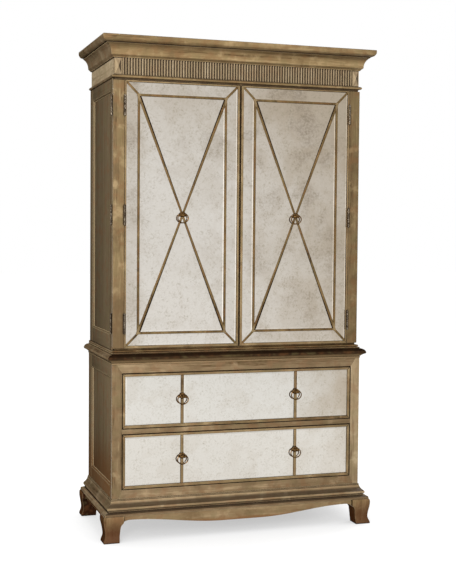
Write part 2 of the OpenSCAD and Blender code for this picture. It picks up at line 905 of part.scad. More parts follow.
// Crest and hub in one piece, and the screw that holds them from behind
module pull_mount(thickness) {
    brow = 1.5;
    eave = [4.5, -3];
    neck_z = -4.5;
    outline = [[0, crest_h], [hub_r, crest_h - brow], [crest_half_w, eave[0]],
        [crest_half_w - 1, eave[1]], [hub_half_w, neck_z], [hub_half_w, -hub_r]];
    difference() {
        union() {
            translate([0, pull_stand, 0]) rotate([90, 0, 0]) linear_extrude(crest_t) both_sides()
                polygon(concat(outline, [[0, -hub_r]]));
            translate([-hub_half_w, 0, 0]) rotate([0, 90, 0])
                cylinder(h = 2 * hub_half_w, r = hub_r);
            block([-hub_half_w, 0, -hub_r], [hub_half_w, pull_stand, hub_r]);
        }
        translate([-hub_half_w - 1, 0, 0]) rotate([0, 90, 0])
            cylinder(h = 2 * hub_half_w + 2, r = ring_pin_r + pin_play);
        translate([0, pull_stand + 1, 0]) rotate([90, 0, 0])
            cylinder(h = screw_grip + 1, r = screw_r + pin_play);
    }
    translate([0, pull_stand + thickness, 0]) rotate([90, 0, 0])
        cylinder(h = thickness + screw_grip - knuckle_gap, r = screw_r);
    translate([0, pull_stand + thickness + screw_head_t, 0]) rotate([90, 0, 0])
        cylinder(h = screw_head_t, r1 = screw_head_r - screw_head_taper, r2 = screw_head_r);
}

// A bent piece of the ring's wire, in the plane of the hanging ring
module wire_arc(centre, r, from, to) {
    translate([centre[0], 0, centre[1]]) rotate([90, 0, 0]) rotate([0, 0, from])
        rotate_extrude(angle = to - from) translate([r, 0]) circle(wire_r);
}

module pull_ring() {
    color(brass) union() {
        wire_arc([0, bow_up - ring_rise], bow_r, bow_angle - 180, -bow_angle);
        wire_arc([turn_x, -ring_rise], ring_turn_r, -bow_angle, top_angle);
        wire_arc([-turn_x, -ring_rise], ring_turn_r, 180 - top_angle, 180 + bow_angle);
        for (side = [-1, 1]) {
            translate([side * pin_half, 0, 0]) sphere(ring_joint_r);
            translate([side * bow_r * cos(bow_angle), 0, bow_up - bow_r * sin(bow_angle) - ring_rise])
                sphere(ring_joint_r);
        }
        translate([-pin_half, 0, 0]) rotate([0, 90, 0]) cylinder(h = 2 * pin_half, r = ring_pin_r);
    }
}

module at_door_pull() {
    translate([cross[0], face_y - pull_stand, cross[1]]) children();
}

// Places of a drawer's two pulls; side is -1 for the left one and 1 for the right one
module at_drawer_pull(z, side) {
    translate([side * divider_x, lower_y - pull_stand, z + opening_h / 2 + ring_rise]) children();
}

module at_drawer_pulls(z) {
    for (side = [-1, 1]) at_drawer_pull(z, side) children();
}

module door_pull_left() {
    color(brass) at_door_pull() pull_mount(leaf_t);
}

module door_pull_right() {
    mirror([1, 0, 0]) door_pull_left();
}

module ring_door_left() {
    at_door_pull() pull_ring();
}

module ring_door_right() {
    mirror([1, 0, 0]) ring_door_left();
}

// ---- Lower case ----

module lower_side_left() {
    y = [frame_back_y, back_y];
    z = [base_z, lower_top_z];
    low = base_h + low_low_rail;
    top = lower_top_z - waist_z + low_top_rail;
    color(dark_wood) framed_side(lower_half, y, z, low_front_stile, low_back_stile, low, top);
}

module lower_side_right() {
    mirror([1, 0, 0]) lower_side_left();
}

// Two stiles and the rails round the drawers
module lower_face_frame() {
    color(wood) difference() {
        block([-lower_half, lower_y, base_z], [lower_half, frame_back_y, lower_top_z]);
        for (z = [lower_open_z, upper_open_z])
            block([-open_half, lower_y - 1, z], [open_half, frame_back_y + 1, z + opening_h]);
    }
}

module lower_bottom() {
    color(plain_wood) block([-lower_half + side_t, frame_back_y, base_z],
        [lower_half - side_t, back_y - back_t, base_z + board_t]);
}

module lower_top() {
    color(plain_wood) block([-lower_half, lower_y, lower_top_z], [lower_half, back_y, deck_z]);
}

module lower_back() {
    color(plain_wood) block([-lower_half + side_t, back_y - back_t, base_z],
        [lower_half - side_t, back_y, lower_top_z]);
}

module dust_board() {
    color(plain_wood) block([-lower_half + side_t, frame_back_y, upper_open_z - runner_t],
        [lower_half - side_t, back_y - back_t, upper_open_z]);
}

// Runners under the lower drawer and guides beside both drawers
module drawer_runners() {
    x = -lower_half + side_t;
    color(plain_wood) both_sides() {
        block([x, frame_back_y, lower_open_z - runner_t],
            [x + runner_w, back_y - back_t, lower_open_z]);
        for (z = [lower_open_z, upper_open_z])
            block([x, frame_back_y, z], [-open_half, back_y - back_t, z + guide_h]);
    }
}

// ---- Drawers ----
// Each module takes the level of the drawer's opening.

front_half = [open_half - drawer_gap, opening_h / 2 - drawer_gap];
glass_half = front_half - [trim_w, trim_w];

module on_drawer(z, depth, thickness) {
    translate([0, lower_y + depth + thickness, z + opening_h / 2]) rotate([90, 0, 0])
        linear_extrude(thickness) children();
}

// A board with trim round its edge and two upright bars, sunk between them for the mirrors
module drawer_front(z) {
    color(wood) difference() {
        on_drawer(z, 0, bars_t + front_board_t) rectangle(front_half);
        on_drawer(z, -1, bars_t + 1) drawer_panes();
        at_drawer_pulls(z) screw_hole(bars_t + front_board_t);
    }
}

module drawer_panes() {
    difference() {
        rectangle(glass_half);
        for (side = [-1, 1]) translate([side * divider_x, 0])
            square([trim_w, 2 * front_half[1]], center = true);
    }
}

module drawer_mirrors(z) {
    color(mirror_grey) on_drawer(z, glass_recess, glass_t) drawer_panes();
}

// Two sides, the back over the bottom, and the bottom, behind the front
module drawer_box(z) {
    x = open_half - guide_play;
    y = lower_y + bars_t + front_board_t;
    z0 = z + run_play;
    bottom_z = z0 + box_bottom_z;
    in_x = x - box_t;
    color(plain_wood) difference() {
        block([-x, y, z0], [x, y + box_d, z0 + box_h]);
        block([-in_x, y - 1, bottom_z + box_bottom_t],
            [in_x, y + box_d - box_t, z0 + box_h + 1]);
        block([-in_x, y - 1, z0 - 1], [in_x, y + box_d + 1, bottom_z]);
    }
}

module drawer_pulls(z) {
    color(brass) at_drawer_pulls(z) pull_mount(bars_t + front_board_t);
}

module drawer_upper_front() {
    drawer_front(upper_open_z);
}

module drawer_upper_mirrors() {
    drawer_mirrors(upper_open_z);
}

module drawer_upper_box() {
    drawer_box(upper_open_z);
}

module drawer_upper_pulls() {
    drawer_pulls(upper_open_z);
}

module drawer_lower_front() {
    drawer_front(lower_open_z);
}

module drawer_lower_mirrors() {
    drawer_mirrors(lower_open_z);
}

module drawer_lower_box() {
    drawer_box(lower_open_z);
}

module drawer_lower_pulls() {
    drawer_pulls(lower_open_z);
}

foot_front_left();
foot_front_right();
foot_back_left();
foot_back_right();
aprons();
base_moulding();
lower_side_left();
lower_side_right();
lower_face_frame();
lower_bottom();
lower_top();
lower_back();
dust_board();
drawer_runners();
waist_moulding();
plinth_bead();
upper_side_left();
upper_side_right();
upper_bottom();
upper_top();
upper_back();
shelf();
clothes_rod();
inner_fittings();
astragal();
frieze_boards();
frieze_reeding();
frieze_blocks();
crown_moulding();
crown_top();
case_hinges();
stile_left();
stile_right();
stile_hinges_left();
stile_hinges_right();
door_left();
door_right();
door_mirrors_left();
door_mirrors_right();
door_bars_left();
door_bars_right();
door_fittings_left();
door_fittings_right();
door_pull_left();
door_pull_right();
drawer_upper_front();
drawer_upper_mirrors();
drawer_upper_box();
drawer_upper_pulls();
drawer_lower_front();
drawer_lower_mirrors();
drawer_lower_box();
drawer_lower_pulls();
ring_door_left();
ring_door_right();
at_drawer_pull(upper_open_z, -1) pull_ring();  // ring_upper_left
at_drawer_pull(upper_open_z, 1) pull_ring();  // ring_upper_right
at_drawer_pull(lower_open_z, -1) pull_ring();  // ring_lower_left
at_drawer_pull(lower_open_z, 1) pull_ring();  // ring_lower_right
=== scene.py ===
import json
import math

import bmesh
import bpy
from mathutils import Matrix, Vector


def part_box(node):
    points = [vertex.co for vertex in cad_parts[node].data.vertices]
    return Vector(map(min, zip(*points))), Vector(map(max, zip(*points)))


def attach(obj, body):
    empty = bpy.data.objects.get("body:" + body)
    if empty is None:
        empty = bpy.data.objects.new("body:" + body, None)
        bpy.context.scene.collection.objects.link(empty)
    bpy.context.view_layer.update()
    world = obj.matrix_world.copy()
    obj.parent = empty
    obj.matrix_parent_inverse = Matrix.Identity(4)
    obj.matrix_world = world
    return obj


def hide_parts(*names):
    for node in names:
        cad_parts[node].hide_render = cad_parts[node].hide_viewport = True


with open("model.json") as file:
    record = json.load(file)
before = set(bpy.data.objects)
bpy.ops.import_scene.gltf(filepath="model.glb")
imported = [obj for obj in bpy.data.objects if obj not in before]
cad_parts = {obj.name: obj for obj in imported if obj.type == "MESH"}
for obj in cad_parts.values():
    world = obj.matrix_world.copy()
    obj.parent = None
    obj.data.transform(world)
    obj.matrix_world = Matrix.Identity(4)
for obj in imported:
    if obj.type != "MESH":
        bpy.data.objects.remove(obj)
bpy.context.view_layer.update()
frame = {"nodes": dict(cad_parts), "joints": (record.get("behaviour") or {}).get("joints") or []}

MM = 0.001
SAME = 1e-6  # metres within which two places are one

# ------------ places read from the frame


def low(node):
    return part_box(node)[0]


def high(node):
    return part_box(node)[1]


CASE_FRONT = low("door_left").y
CASE_BACK = high("upper_back").y
CASE_HALF = -low("upper_side_left").x
SIDE_FRONT = low("upper_side_left").y
CHEST_FRONT = low("lower_face_frame").y
CHEST_HALF = -low("lower_side_left").x
FRIEZE_FRONT = low("frieze_boards").y
FRIEZE_HALF = high("frieze_boards").x
FOOT_TOP = low("base_moulding").z
WAIST_FOOT = low("waist_moulding").z
STILE_FOOT = low("stile_left").z


def node_height(node):
    """Height of a node, in millimetres."""
    return (high(node).z - low(node).z) / MM


# ------------ curves, in millimetres


def arc(cx, cz, rx, rz, start, end, steps=12):
    """Points of an elliptical arc."""
    turns = [math.radians(start + (end - start) * i / steps) for i in range(steps + 1)]
    return [(cx + rx * math.cos(a), cz + rz * math.sin(a)) for a in turns]


def ease(t):
    """Half a turn of a cosine, from 0 to 1."""
    return (1 - math.cos(math.pi * t)) / 2


def swing(o0, z0, o1, z1, steps=12):
    """Points of an S-curve between two points, without the last one."""
    return [(o0 + (o1 - o0) * ease(i / steps), z0 + (z1 - z0) * i / steps) for i in range(steps)]


def hollow(o0, z0, o1, z1, sag, steps=12):
    """Points of a shallow hollow between two points."""
    length = math.hypot(o1 - o0, z1 - z0)
    into = (-(z1 - z0) / length, (o1 - o0) / length)
    points = []
    for i in range(steps + 1):
        t = i / steps
        dip = 4 * sag * t * (1 - t)
        points.append((o0 + (o1 - o0) * t + dip * into[0], z0 + (z1 - z0) * t + dip * into[1]))
    return points


# ------------ mesh tools


def finish_piece(name, bm, body, materials, replaced=(), sharp=32):
    """Makes an object of a bmesh, smooth but for its sharp edges, and gives it its body.

    Edges that turn by more than the sharp angle, in degrees, stay sharp."""
    bmesh.ops.remove_doubles(bm, verts=bm.verts, dist=SAME)
    bmesh.ops.recalc_face_normals(bm, faces=bm.faces)
    limit = math.radians(sharp)
    for face in bm.faces:
        face.smooth = True
    for edge in bm.edges:
        edge.smooth = len(edge.link_faces) == 2 and edge.calc_face_angle() < limit
    mesh = bpy.data.meshes.new(name)
    bm.to_mesh(mesh)
    bm.free()
    piece = bpy.data.objects.new(name, mesh)
    bpy.context.scene.collection.objects.link(piece)
    for material in materials:
        mesh.materials.append(material)
    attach(piece, body)
    if replaced:
        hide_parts(*replaced)
    return piece


def edges_of(verts):
    """Every edge of some vertices, once."""
    return list(dict.fromkeys(edge for vert in verts for edge in vert.link_edges))


def soften(bm, edges, radius, segments=2):
    """Rounds edges."""
    bmesh.ops.bevel(bm, geom=edges, offset=radius, offset_type="OFFSET", segments=segments,
                    profile=0.5, affect="EDGES", clamp_overlap=True, material=-1)


def soften_face(bm, verts, y, radius, segments=3):
    """Rounds the edges that lie in the plane at y."""
    edges = [e for e in edges_of(verts) if all(abs(v.co.y - y) < SAME for v in e.verts)]
    soften(bm, edges, radius, segments)


def assign_slot(verts, slot):
    """Gives every face of some vertices a material slot."""
    for vert in verts:
        for face in vert.link_faces:
            face.material_index = slot


def assign_slots_by_facing(bm, choose):
    """Gives every face the material slot that is chosen for its normal."""
    for face in bm.faces:
        face.normal_update()
        face.material_index = choose(face.normal)


def board(bm, lo, hi, radius, segments=2, slot=0):
    """A board with eased arrises between two corners."""
    lo, hi = Vector(lo), Vector(hi)
    verts = bmesh.ops.create_cube(bm, size=1)["verts"]
    bmesh.ops.scale(bm, vec=hi - lo, verts=verts)
    bmesh.ops.translate(bm, vec=(lo + hi) / 2, verts=verts)
    assign_slot(verts, slot)
    soften(bm, edges_of(verts), radius, segments)


def prism(bm, corners, sweep, slot=0):
    """A closed solid: a flat outline drawn along a vector. Returns its vertices."""
    first = [bm.verts.new(corner) for corner in corners]
    face = bm.faces.new(first)
    grown = bmesh.ops.extrude_face_region(bm, geom=[face])["geom"]
    moved = [part for part in grown if isinstance(part, bmesh.types.BMVert)]
    bmesh.ops.translate(bm, vec=sweep, verts=moved)
    verts = first + moved
    assign_slot(verts, slot)
    return verts


def loop_edges(ring):
    """The edges round a closed ring of vertices."""
    pairs = zip(ring, ring[1:] + ring[:1])
    return [next(e for e in a.link_edges if e.other_vert(a) is b) for a, b in pairs]


def start_ring(bm, points):
    """A closed ring of vertices and edges through some points."""
    ring = [bm.verts.new(point) for point in points]
    for a, b in zip(ring, ring[1:] + ring[:1]):
        bm.edges.new((a, b))
    return ring


def extrude_ring(bm, ring, points, slot=0):
    """Extrudes a closed ring of vertices to as many new points. Returns the new ring."""
    grown = bmesh.ops.extrude_edge_only(bm, edges=loop_edges(ring))["geom"]
    old = set(ring)
    follow = {}
    for part in grown:
        if isinstance(part, bmesh.types.BMFace):
            part.material_index = slot
        elif isinstance(part, bmesh.types.BMVert):
            for edge in part.link_edges:
                if edge.other_vert(part) in old:
                    follow[edge.other_vert(part)] = part
    ring = [follow[vert] for vert in ring]
    for vert, point in zip(ring, points):
        vert.co = point
    return ring


# ------------ shader tools


def add(tree, kind, sockets=None, **settings):
    """Adds a shader node. A socket given as a value is linked, and anything else is set."""
    made = tree.nodes.new(kind)
    for key, value in settings.items():
        setattr(made, key, value)
    for key, value in (sockets or {}).items():
        if isinstance(value, bpy.types.NodeSocket):
            tree.links.new(value, made.inputs[key])
        else:
            made.inputs[key].default_value = value
    return made


def srgb(*values):
    """A colour given as 0 to 255 display values."""
    return tuple(((v / 255 + 0.055) / 1.055) ** 2.4 if v > 10 else v / 255 / 12.92 for v in values)


def ramp(tree, value, stops):
    """Colours from a list of places from 0 to 1 and their colours."""
    made = add(tree, "ShaderNodeValToRGB", {"Fac": value})
    elements = made.color_ramp.elements
    while len(elements) < len(stops):
        elements.new(0.5)
    for element, (place, colour) in zip(elements, stops):
        element.position = place
        element.color = (*colour, 1.0)
    return made.outputs["Color"]


def mix(tree, factor, a, b):
    """Colour a where the factor is 0 and colour b where it is 1."""
    made = add(tree, "ShaderNodeMix", data_type="RGBA")
    for socket, value in ((0, factor), (6, a), (7, b)):
        if isinstance(value, bpy.types.NodeSocket):
            tree.links.new(value, made.inputs[socket])
        else:
            made.inputs[socket].default_value = value if socket == 0 else (*value, 1.0)
    return made.outputs[2]


def maths(tree, operation, a, b=0.0):
    return add(tree, "ShaderNodeMath", {0: a, 1: b}, operation=operation).outputs[0]


def remap(tree, value, a, b, c=0.0, d=1.0, kind="SMOOTHSTEP"):
    """Turns a value between a and b into one between c and d."""
    made = add(tree, "ShaderNodeMapRange",
               {"Value": value, "From Min": a, "From Max": b, "To Min": c, "To Max": d},
               interpolation_type=kind)
    return made.outputs["Result"]


def noise(tree, vector, scale, detail=4.0, roughness=0.55, distortion=0.0):
    made = add(tree, "ShaderNodeTexNoise",
               {"Vector": vector, "Scale": scale, "Detail": detail, "Roughness": roughness,
                "Distortion": distortion})
    return made.outputs["Fac"]


def stretched(tree, place, scale):
    return add(tree, "ShaderNodeMapping", {"Vector": place, "Scale": scale}).outputs[0]


def product(tree, *values):
    """The values multiplied together."""
    total = values[0]
    for value in values[1:]:
        total = maths(tree, "MULTIPLY", total, value)
    return total


def split_up(tree, vector):
    """The X, Y and Z of a vector."""
    return add(tree, "ShaderNodeSeparateXYZ", {0: vector}).outputs


def facing_of(tree):
    """X, Y and Z of the direction that a surface faces, in the object's own frame."""
    return split_up(tree, add(tree, "ShaderNodeTexCoord").outputs["Normal"])


EDGE_SAMPLES = 8


def hollows(tree, reach):
    """1 on open faces, lower in grooves and corners within a reach."""
    return add(tree, "ShaderNodeAmbientOcclusion", {"Distance": reach},
               samples=EDGE_SAMPLES).outputs["AO"]


def arrises(tree, reach):
    """1 on broad faces, lower along the outer edges."""
    return add(tree, "ShaderNodeAmbientOcclusion", {"Distance": reach}, samples=EDGE_SAMPLES,
               inside=True, only_local=True).outputs["AO"]


def empty_tree(owner):
    """The node tree of a new material or world, with nothing in it."""
    owner.use_nodes = True
    owner.node_tree.nodes.clear()
    return owner.node_tree


def start(name):
    """A new material: itself, its tree, the place on the object, and its surface shader."""
    material = bpy.data.materials.new(name)
    tree = empty_tree(material)
    place = add(tree, "ShaderNodeTexCoord").outputs["Object"]
    surface = add(tree, "ShaderNodeBsdfPrincipled")
    add(tree, "ShaderNodeOutputMaterial", {"Surface": surface.outputs[0]})
    return material, tree, place, surface


def finish_surface(tree, surface, colour, roughness, height=None, strength=0.0, depth=0.0):
    """Links a surface's colour and roughness, and a bump where it has one."""
    tree.links.new(colour, surface.inputs["Base Color"])
    tree.links.new(roughness, surface.inputs["Roughness"])
    if height is not None:
        bump = add(tree, "ShaderNodeBump", {"Height": height, "Strength": strength, "Distance": depth})
        tree.links.new(bump.outputs[0], surface.inputs["Normal"])


# ------------ finishes

GRAIN = {"X": (0.05, 1, 1), "Y": (1, 0.05, 1), "Z": (1, 1, 0.05)}
# Colour of the dark glaze, also used as painted shade
DARK_GLAZE_AND_SHADE = srgb(36, 23, 14)
# Pale gold of wear on the arrises, also used as painted highlight
WEAR_AND_HIGHLIGHT_GOLD = srgb(200, 176, 136)
RED_BROWN = srgb(136, 88, 52)
OLIVE = srgb(128, 118, 78)

# Scale, detail, roughness, distortion and share of the fine, middle and broad streaks
STREAKS = [(400, 3, 0.6, 0.0, 0.22), (110, 4, 0.6, 0.3, 0.33), (28, 3, 0.5, 0.0, 0.45)]
WEAR_AND_HIGHLIGHT_REACH = 2.5 * MM


def mix_tone(a, b):
    """The tone halfway between two."""
    return tuple((p + q) / 2 for p, q in zip(a, b))


def glazed_wood(name, along, tones, groove=10, hold=(0.95, 0.55), settled=0.0, under=0.0,
                wiped=0.0, worn=0.35, sheen=0.15, blotches=0.75, low_tone=None, clear_top=False):
    """Gilded wood under a dark glaze, in a few layers.

    Streaks run along the grain, with soft blotches. Grooves and corners darken, partly with the glaze
    that stays there and partly with painted shade (reach in mm, and how deep they must be). Slopes
    that face up and slopes that face down darken with painted shade, and so do right-hand slopes,
    while left-hand ones take a painted highlight. clear_top keeps level tops clear of the painted
    shade on up-facing slopes. Outer arrises are paler, partly wear and partly painted highlight.
    low_tone is two heights and the tone taken between them."""
    glaze, base, pale = (srgb(*tone) for tone in tones)
    material, tree, place, surface = start(name)
    run = stretched(tree, place, GRAIN[along])
    fine, middle, broad = [product(tree, noise(tree, run, *layer), share) for *layer, share in STREAKS]
    streaks = maths(tree, "ADD", maths(tree, "ADD", fine, middle), broad)
    colour = ramp(tree, streaks, [(0.38, glaze), (0.48, base), (0.53, base), (0.62, pale)])
    clouds = noise(tree, place, 13, 5, 0.6)
    colour = mix(tree, remap(tree, clouds, 0.49, 0.66, 0, blotches), colour, mix_tone(glaze, base))
    colour = mix(tree, remap(tree, clouds, 0.46, 0.32, 0, blotches), colour, pale)
    warm = noise(tree, stretched(tree, place, (0.4, 0.4, 0.4)), 60, 2, 0.5)
    colour = mix(tree, remap(tree, warm, 0.5, 0.68, 0, 0.5), colour, mix_tone(base, RED_BROWN))
    colour = mix(tree, remap(tree, warm, 0.48, 0.32, 0, 0.45), colour, mix_tone(base, OLIVE))
    if low_tone:
        top, bottom, tone = low_tone
        share = remap(tree, split_up(tree, place)["Z"], top, bottom, 0, 0.85)
        patchy = product(tree, share, remap(tree, clouds, 0.3, 0.6, 0.75, 1.0))
        colour = mix(tree, patchy, colour, srgb(*tone))
    facing = facing_of(tree)
    # Slopes that face up are darkened: painted shade
    if settled:
        slopes = remap(tree, facing["Z"], 0.28, 0.62, 0, settled)
        if clear_top:
            slopes = product(tree, slopes, remap(tree, facing["Z"], 0.99, 0.93))
        colour = mix(tree, slopes, colour, DARK_GLAZE_AND_SHADE)
    # Slopes that face down are darkened: painted shade
    if under:
        colour = mix(tree, remap(tree, facing["Z"], -0.3, -0.9, 0, under), colour, DARK_GLAZE_AND_SHADE)
    # Right-hand slopes are darkened and left-hand slopes paled: painted shade and painted highlight
    if wiped:
        colour = mix(tree, remap(tree, facing["X"], 0.0, 0.65, 0, wiped), colour, DARK_GLAZE_AND_SHADE)
        colour = mix(tree, remap(tree, facing["X"], -0.15, -0.5, 0, wiped / 2), colour, WEAR_AND_HIGHLIGHT_GOLD)
    # Outer arrises are paled: partly wear and partly painted highlight
    wear_and_highlight = remap(tree, arrises(tree, WEAR_AND_HIGHLIGHT_REACH), 0.92, 0.62, 0, worn)
    colour = mix(tree, wear_and_highlight, colour, WEAR_AND_HIGHLIGHT_GOLD)
    # Grooves, gaps and corners darkened: the glaze held there, and painted shade
    colour = mix(tree, remap(tree, hollows(tree, groove * MM), *hold, 0, 0.95), colour, DARK_GLAZE_AND_SHADE)
    rough = remap(tree, streaks, 0.4, 0.6, 0.6, 0.5)
    finish_surface(tree, surface, colour, rough, streaks, 0.15, 0.5 * MM)
    surface.inputs["Specular IOR Level"].default_value = sheen
    return material


def glazed_set(name, axes, *tones, **settings):
    """One finish with its grain along each of the axes that pieces need."""
    return {axis: glazed_wood(f"{name}_{axis.lower()}", axis, tones, **settings) for axis in axes}


DULL_SILVER = srgb(176, 163, 145)
CLOUDED_SILVER = srgb(160, 150, 130)
SMOKE_GREY = srgb(118, 104, 88)
FOXING_GREY = srgb(138, 130, 112)
# Places between which a door's mirrors turn dull upwards, dull to the left, and smoky upwards
DULL_TOP, DULL_LEFT, SMOKE_RISE = (1.45, 1.98), (-0.42, -0.5), (0.9, 1.6)


def old_mirror(name, bright, bright_to, dull_per_metre, top_dull=0.0, left_dull=0.0):
    """Antiqued mirror glass, duller towards both sides and the top, with clouds and grey foxing."""
    material, tree, place, surface = start(name)
    spot = split_up(tree, place)
    # Darker towards the right: aged silvering, and a painted reflection of the dimmer studio on that
    # side
    right = product(tree, maths(tree, "SUBTRACT", spot["X"], bright_to), dull_per_metre)
    upper = remap(tree, spot["Z"], *DULL_TOP, 0, top_dull)
    left = remap(tree, spot["X"], *DULL_LEFT, 0, left_dull)
    dull = maths(tree, "ADD", maths(tree, "MAXIMUM", right, left), upper)
    clouds = noise(tree, place, 6, 5, 0.6, 0.5)
    dull = maths(tree, "ADD", dull, remap(tree, clouds, 0.38, 0.64, -0.1, 0.16))
    dull = maths(tree, "MINIMUM", maths(tree, "MAXIMUM", dull, 0.0), 1.0)
    colour = mix(tree, dull, bright, DULL_SILVER)
    mottling = noise(tree, place, 110, 4, 0.7, 0.2)
    patches = noise(tree, place, 40, 4, 0.6, 0.3)
    heavier = remap(tree, dull, 0, 0.9, 0.2, 0.5, "LINEAR")
    clumps = remap(tree, patches, 0.4, 0.62, 0.35, 1.5)
    mottled = product(tree, heavier, clumps, remap(tree, mottling, 0.42, 0.66))
    colour = mix(tree, mottled, colour, CLOUDED_SILVER)
    if top_dull:
        smoke = product(tree, remap(tree, noise(tree, place, 8, 4, 0.55, 0.4), 0.46, 0.72),
                        remap(tree, dull, 0.1, 0.8, 0.07, 0.5),
                        remap(tree, mottling, 0.36, 0.6, 0.3, 1),
                        remap(tree, spot["Z"], *SMOKE_RISE, 0.45, 1))
        colour = mix(tree, smoke, colour, SMOKE_GREY)
    foxing = product(tree, remap(tree, mottling, 0.58, 0.7, 0, 0.3),
                     remap(tree, patches, 0.46, 0.6, 0.1, 1))
    colour = mix(tree, foxing, colour, FOXING_GREY)
    finish_surface(tree, surface, colour, remap(tree, patches, 0.4, 0.7, 0.05, 0.15))
    surface.inputs["Metallic"].default_value = 1.0
    return material


BOARD_GRAIN = [(0.08, 1, 1), (1, 0.08, 1)]


def plain_boards(name, base, pale, dark):
    """Clear-finished inner boards with open pores. Faces that look sideways have their grain
    from front to back, and the others from side to side."""
    material, tree, place, surface = start(name)
    sideways = maths(tree, "GREATER_THAN", maths(tree, "ABSOLUTE", facing_of(tree)["X"]), 0.5)
    run = mix(tree, sideways, *[stretched(tree, place, scale) for scale in BOARD_GRAIN])
    rings = noise(tree, run, 34, 5, 0.6, 1.2)
    pores = noise(tree, run, 420, 3, 0.6)
    colour = ramp(tree, rings, [(0.3, dark), (0.5, base), (0.7, pale)])
    colour = mix(tree, remap(tree, pores, 0.55, 0.7, 0, 0.3), colour, dark)
    finish_surface(tree, surface, colour, remap(tree, pores, 0.3, 0.7, 0.5, 0.62), pores, 0.1, 0.4 * MM)
    return material


RUBBED_REACH, GRIME_REACH = 1.5 * MM, 6 * MM


def old_metal(name, base, worn, dark, rough=(0.34, 0.5)):
    """Metal with a patina, grime in its corners and rubbed outer edges."""
    material, tree, place, surface = start(name)
    patina = noise(tree, place, 150, 5, 0.6)
    colour = ramp(tree, patina, [(0.34, dark), (0.5, base), (0.68, worn)])
    colour = mix(tree, remap(tree, arrises(tree, RUBBED_REACH), 0.9, 0.5, 0, 0.35), colour, worn)
    colour = mix(tree, remap(tree, hollows(tree, GRIME_REACH), 0.85, 0.3, 0, 0.85), colour, dark)
    finish_surface(tree, surface, colour, remap(tree, patina, 0.3, 0.7, rough[1], rough[0]))
    surface.inputs["Metallic"].default_value = 1.0
    return material


# Heights between which a finish turns to another tone
STILE_DARKENS = (STILE_FOOT + 0.4, STILE_FOOT + 0.08)
BASE_STEP = (FOOT_TOP + 14 * MM, FOOT_TOP + 10 * MM)
# Between these heights the waist's hollow takes a paler tone: painted bounce light
WAIST_HOLLOW = (WAIST_FOOT + 24 * MM, WAIST_FOOT + 17 * MM)
SIDE_REDDENS = (0.46, 0.26)
FRONT_FOOT_REDDENS, SIDE_FOOT_REDDENS = (0.12, 0.04), (0.11, 0.03)
APRON_REDDENS = (0.084, 0.066)

# The axes of the grain, then display values of the glaze, the ground and the rubbed gold
gold = glazed_set("champagne_gold", "Z", (74, 54, 30), (128, 106, 73), (168, 143, 104))
# left_gold, low_gold and right_gold are lighter copies of the gold: painted light where the light falls
# unevenly across the front's stiles
left_gold = glazed_set("pale_champagne_gold", "Z", (80, 60, 34), (142, 118, 82), (184, 158, 117),
                       low_tone=(*STILE_DARKENS, (116, 93, 64)))
low_gold = glazed_set("warm_champagne_gold", "Z", (84, 64, 38), (145, 121, 88), (180, 155, 118))
right_gold = glazed_set("light_champagne_gold", "Z", (104, 82, 54), (176, 152, 117), (204, 182, 146))
# The trim's stronger groove darkening paints the shade in the gaps round the drawers and doors
trim_gold = glazed_set("trim_gold", "XZ", (84, 64, 38), (150, 126, 90), (184, 158, 118),
                       groove=7, hold=(0.98, 0.65))
rail_gold = glazed_set("rail_gold", "X", (84, 64, 38), (142, 118, 86), (180, 154, 118),
                       groove=5, hold=(0.98, 0.6))
# A lighter copy of the gold for the chest's top rail: painted light against the waist moulding's shadow
high_rail_gold = glazed_set("high_rail_gold", "X", (100, 78, 50), (157, 132, 99), (184, 158, 122),
                            groove=3, hold=(0.98, 0.6))
# The mouldings below take painted shade on slopes that face up and down, and painted highlight along
# their arrises
base_gold = glazed_set("base_gold", "X", (112, 88, 58), (172, 146, 110), (200, 175, 138),
                       groove=8, hold=(0.95, 0.6), settled=0.78, under=0.85, worn=0.8,
                       low_tone=(*BASE_STEP, (118, 94, 66)))
# The waist's dark gold is partly the glaze's own dark and partly painted shade; it also paints the
# shade in recesses and gaps by the doors and drawers
dark_glaze_and_shade_gold = glazed_set("dark_glaze_and_shade_gold", "X", (36, 23, 14), (64, 47, 32), (98, 76, 50), groove=6,
                        settled=0.85, worn=0.08, sheen=0.0, low_tone=(*WAIST_HOLLOW, (172, 144, 106)))
bead_gold = glazed_set("bead_gold", "X", (60, 44, 26), (112, 88, 58), (150, 124, 88),
                       groove=6, under=0.9, sheen=0.0)
crown_gold = glazed_set("crown_gold", "X", (84, 62, 36), (152, 126, 87), (188, 161, 118),
                        settled=0.6, under=0.3, worn=0.6, clear_top=True)
side_run = glazed_set("side_moulding", "Y", (98, 78, 52), (150, 128, 98), (178, 156, 124), groove=8,
                      hold=(0.97, 0.6), settled=0.4, under=0.15, worn=0.9, sheen=0.0, clear_top=True)
foot_gold = glazed_set("worn_gold", "Z", (84, 56, 30), (148, 118, 81), (184, 154, 112),
                       low_tone=(*FRONT_FOOT_REDDENS, (86, 50, 26)))
apron_gold = glazed_set("apron_gold", "X", (94, 68, 40), (157, 131, 95), (188, 161, 123),
                        groove=5, low_tone=(*APRON_REDDENS, (146, 104, 66)))
# A darker copy of the feet's gold for faces that look sideways: painted shade
shaded_side_foot = glazed_set("shaded_foot_side", "YZ", (54, 33, 18), (92, 63, 37), (124, 94, 62), sheen=0.0,
                       low_tone=(*SIDE_FOOT_REDDENS, (72, 41, 22)))
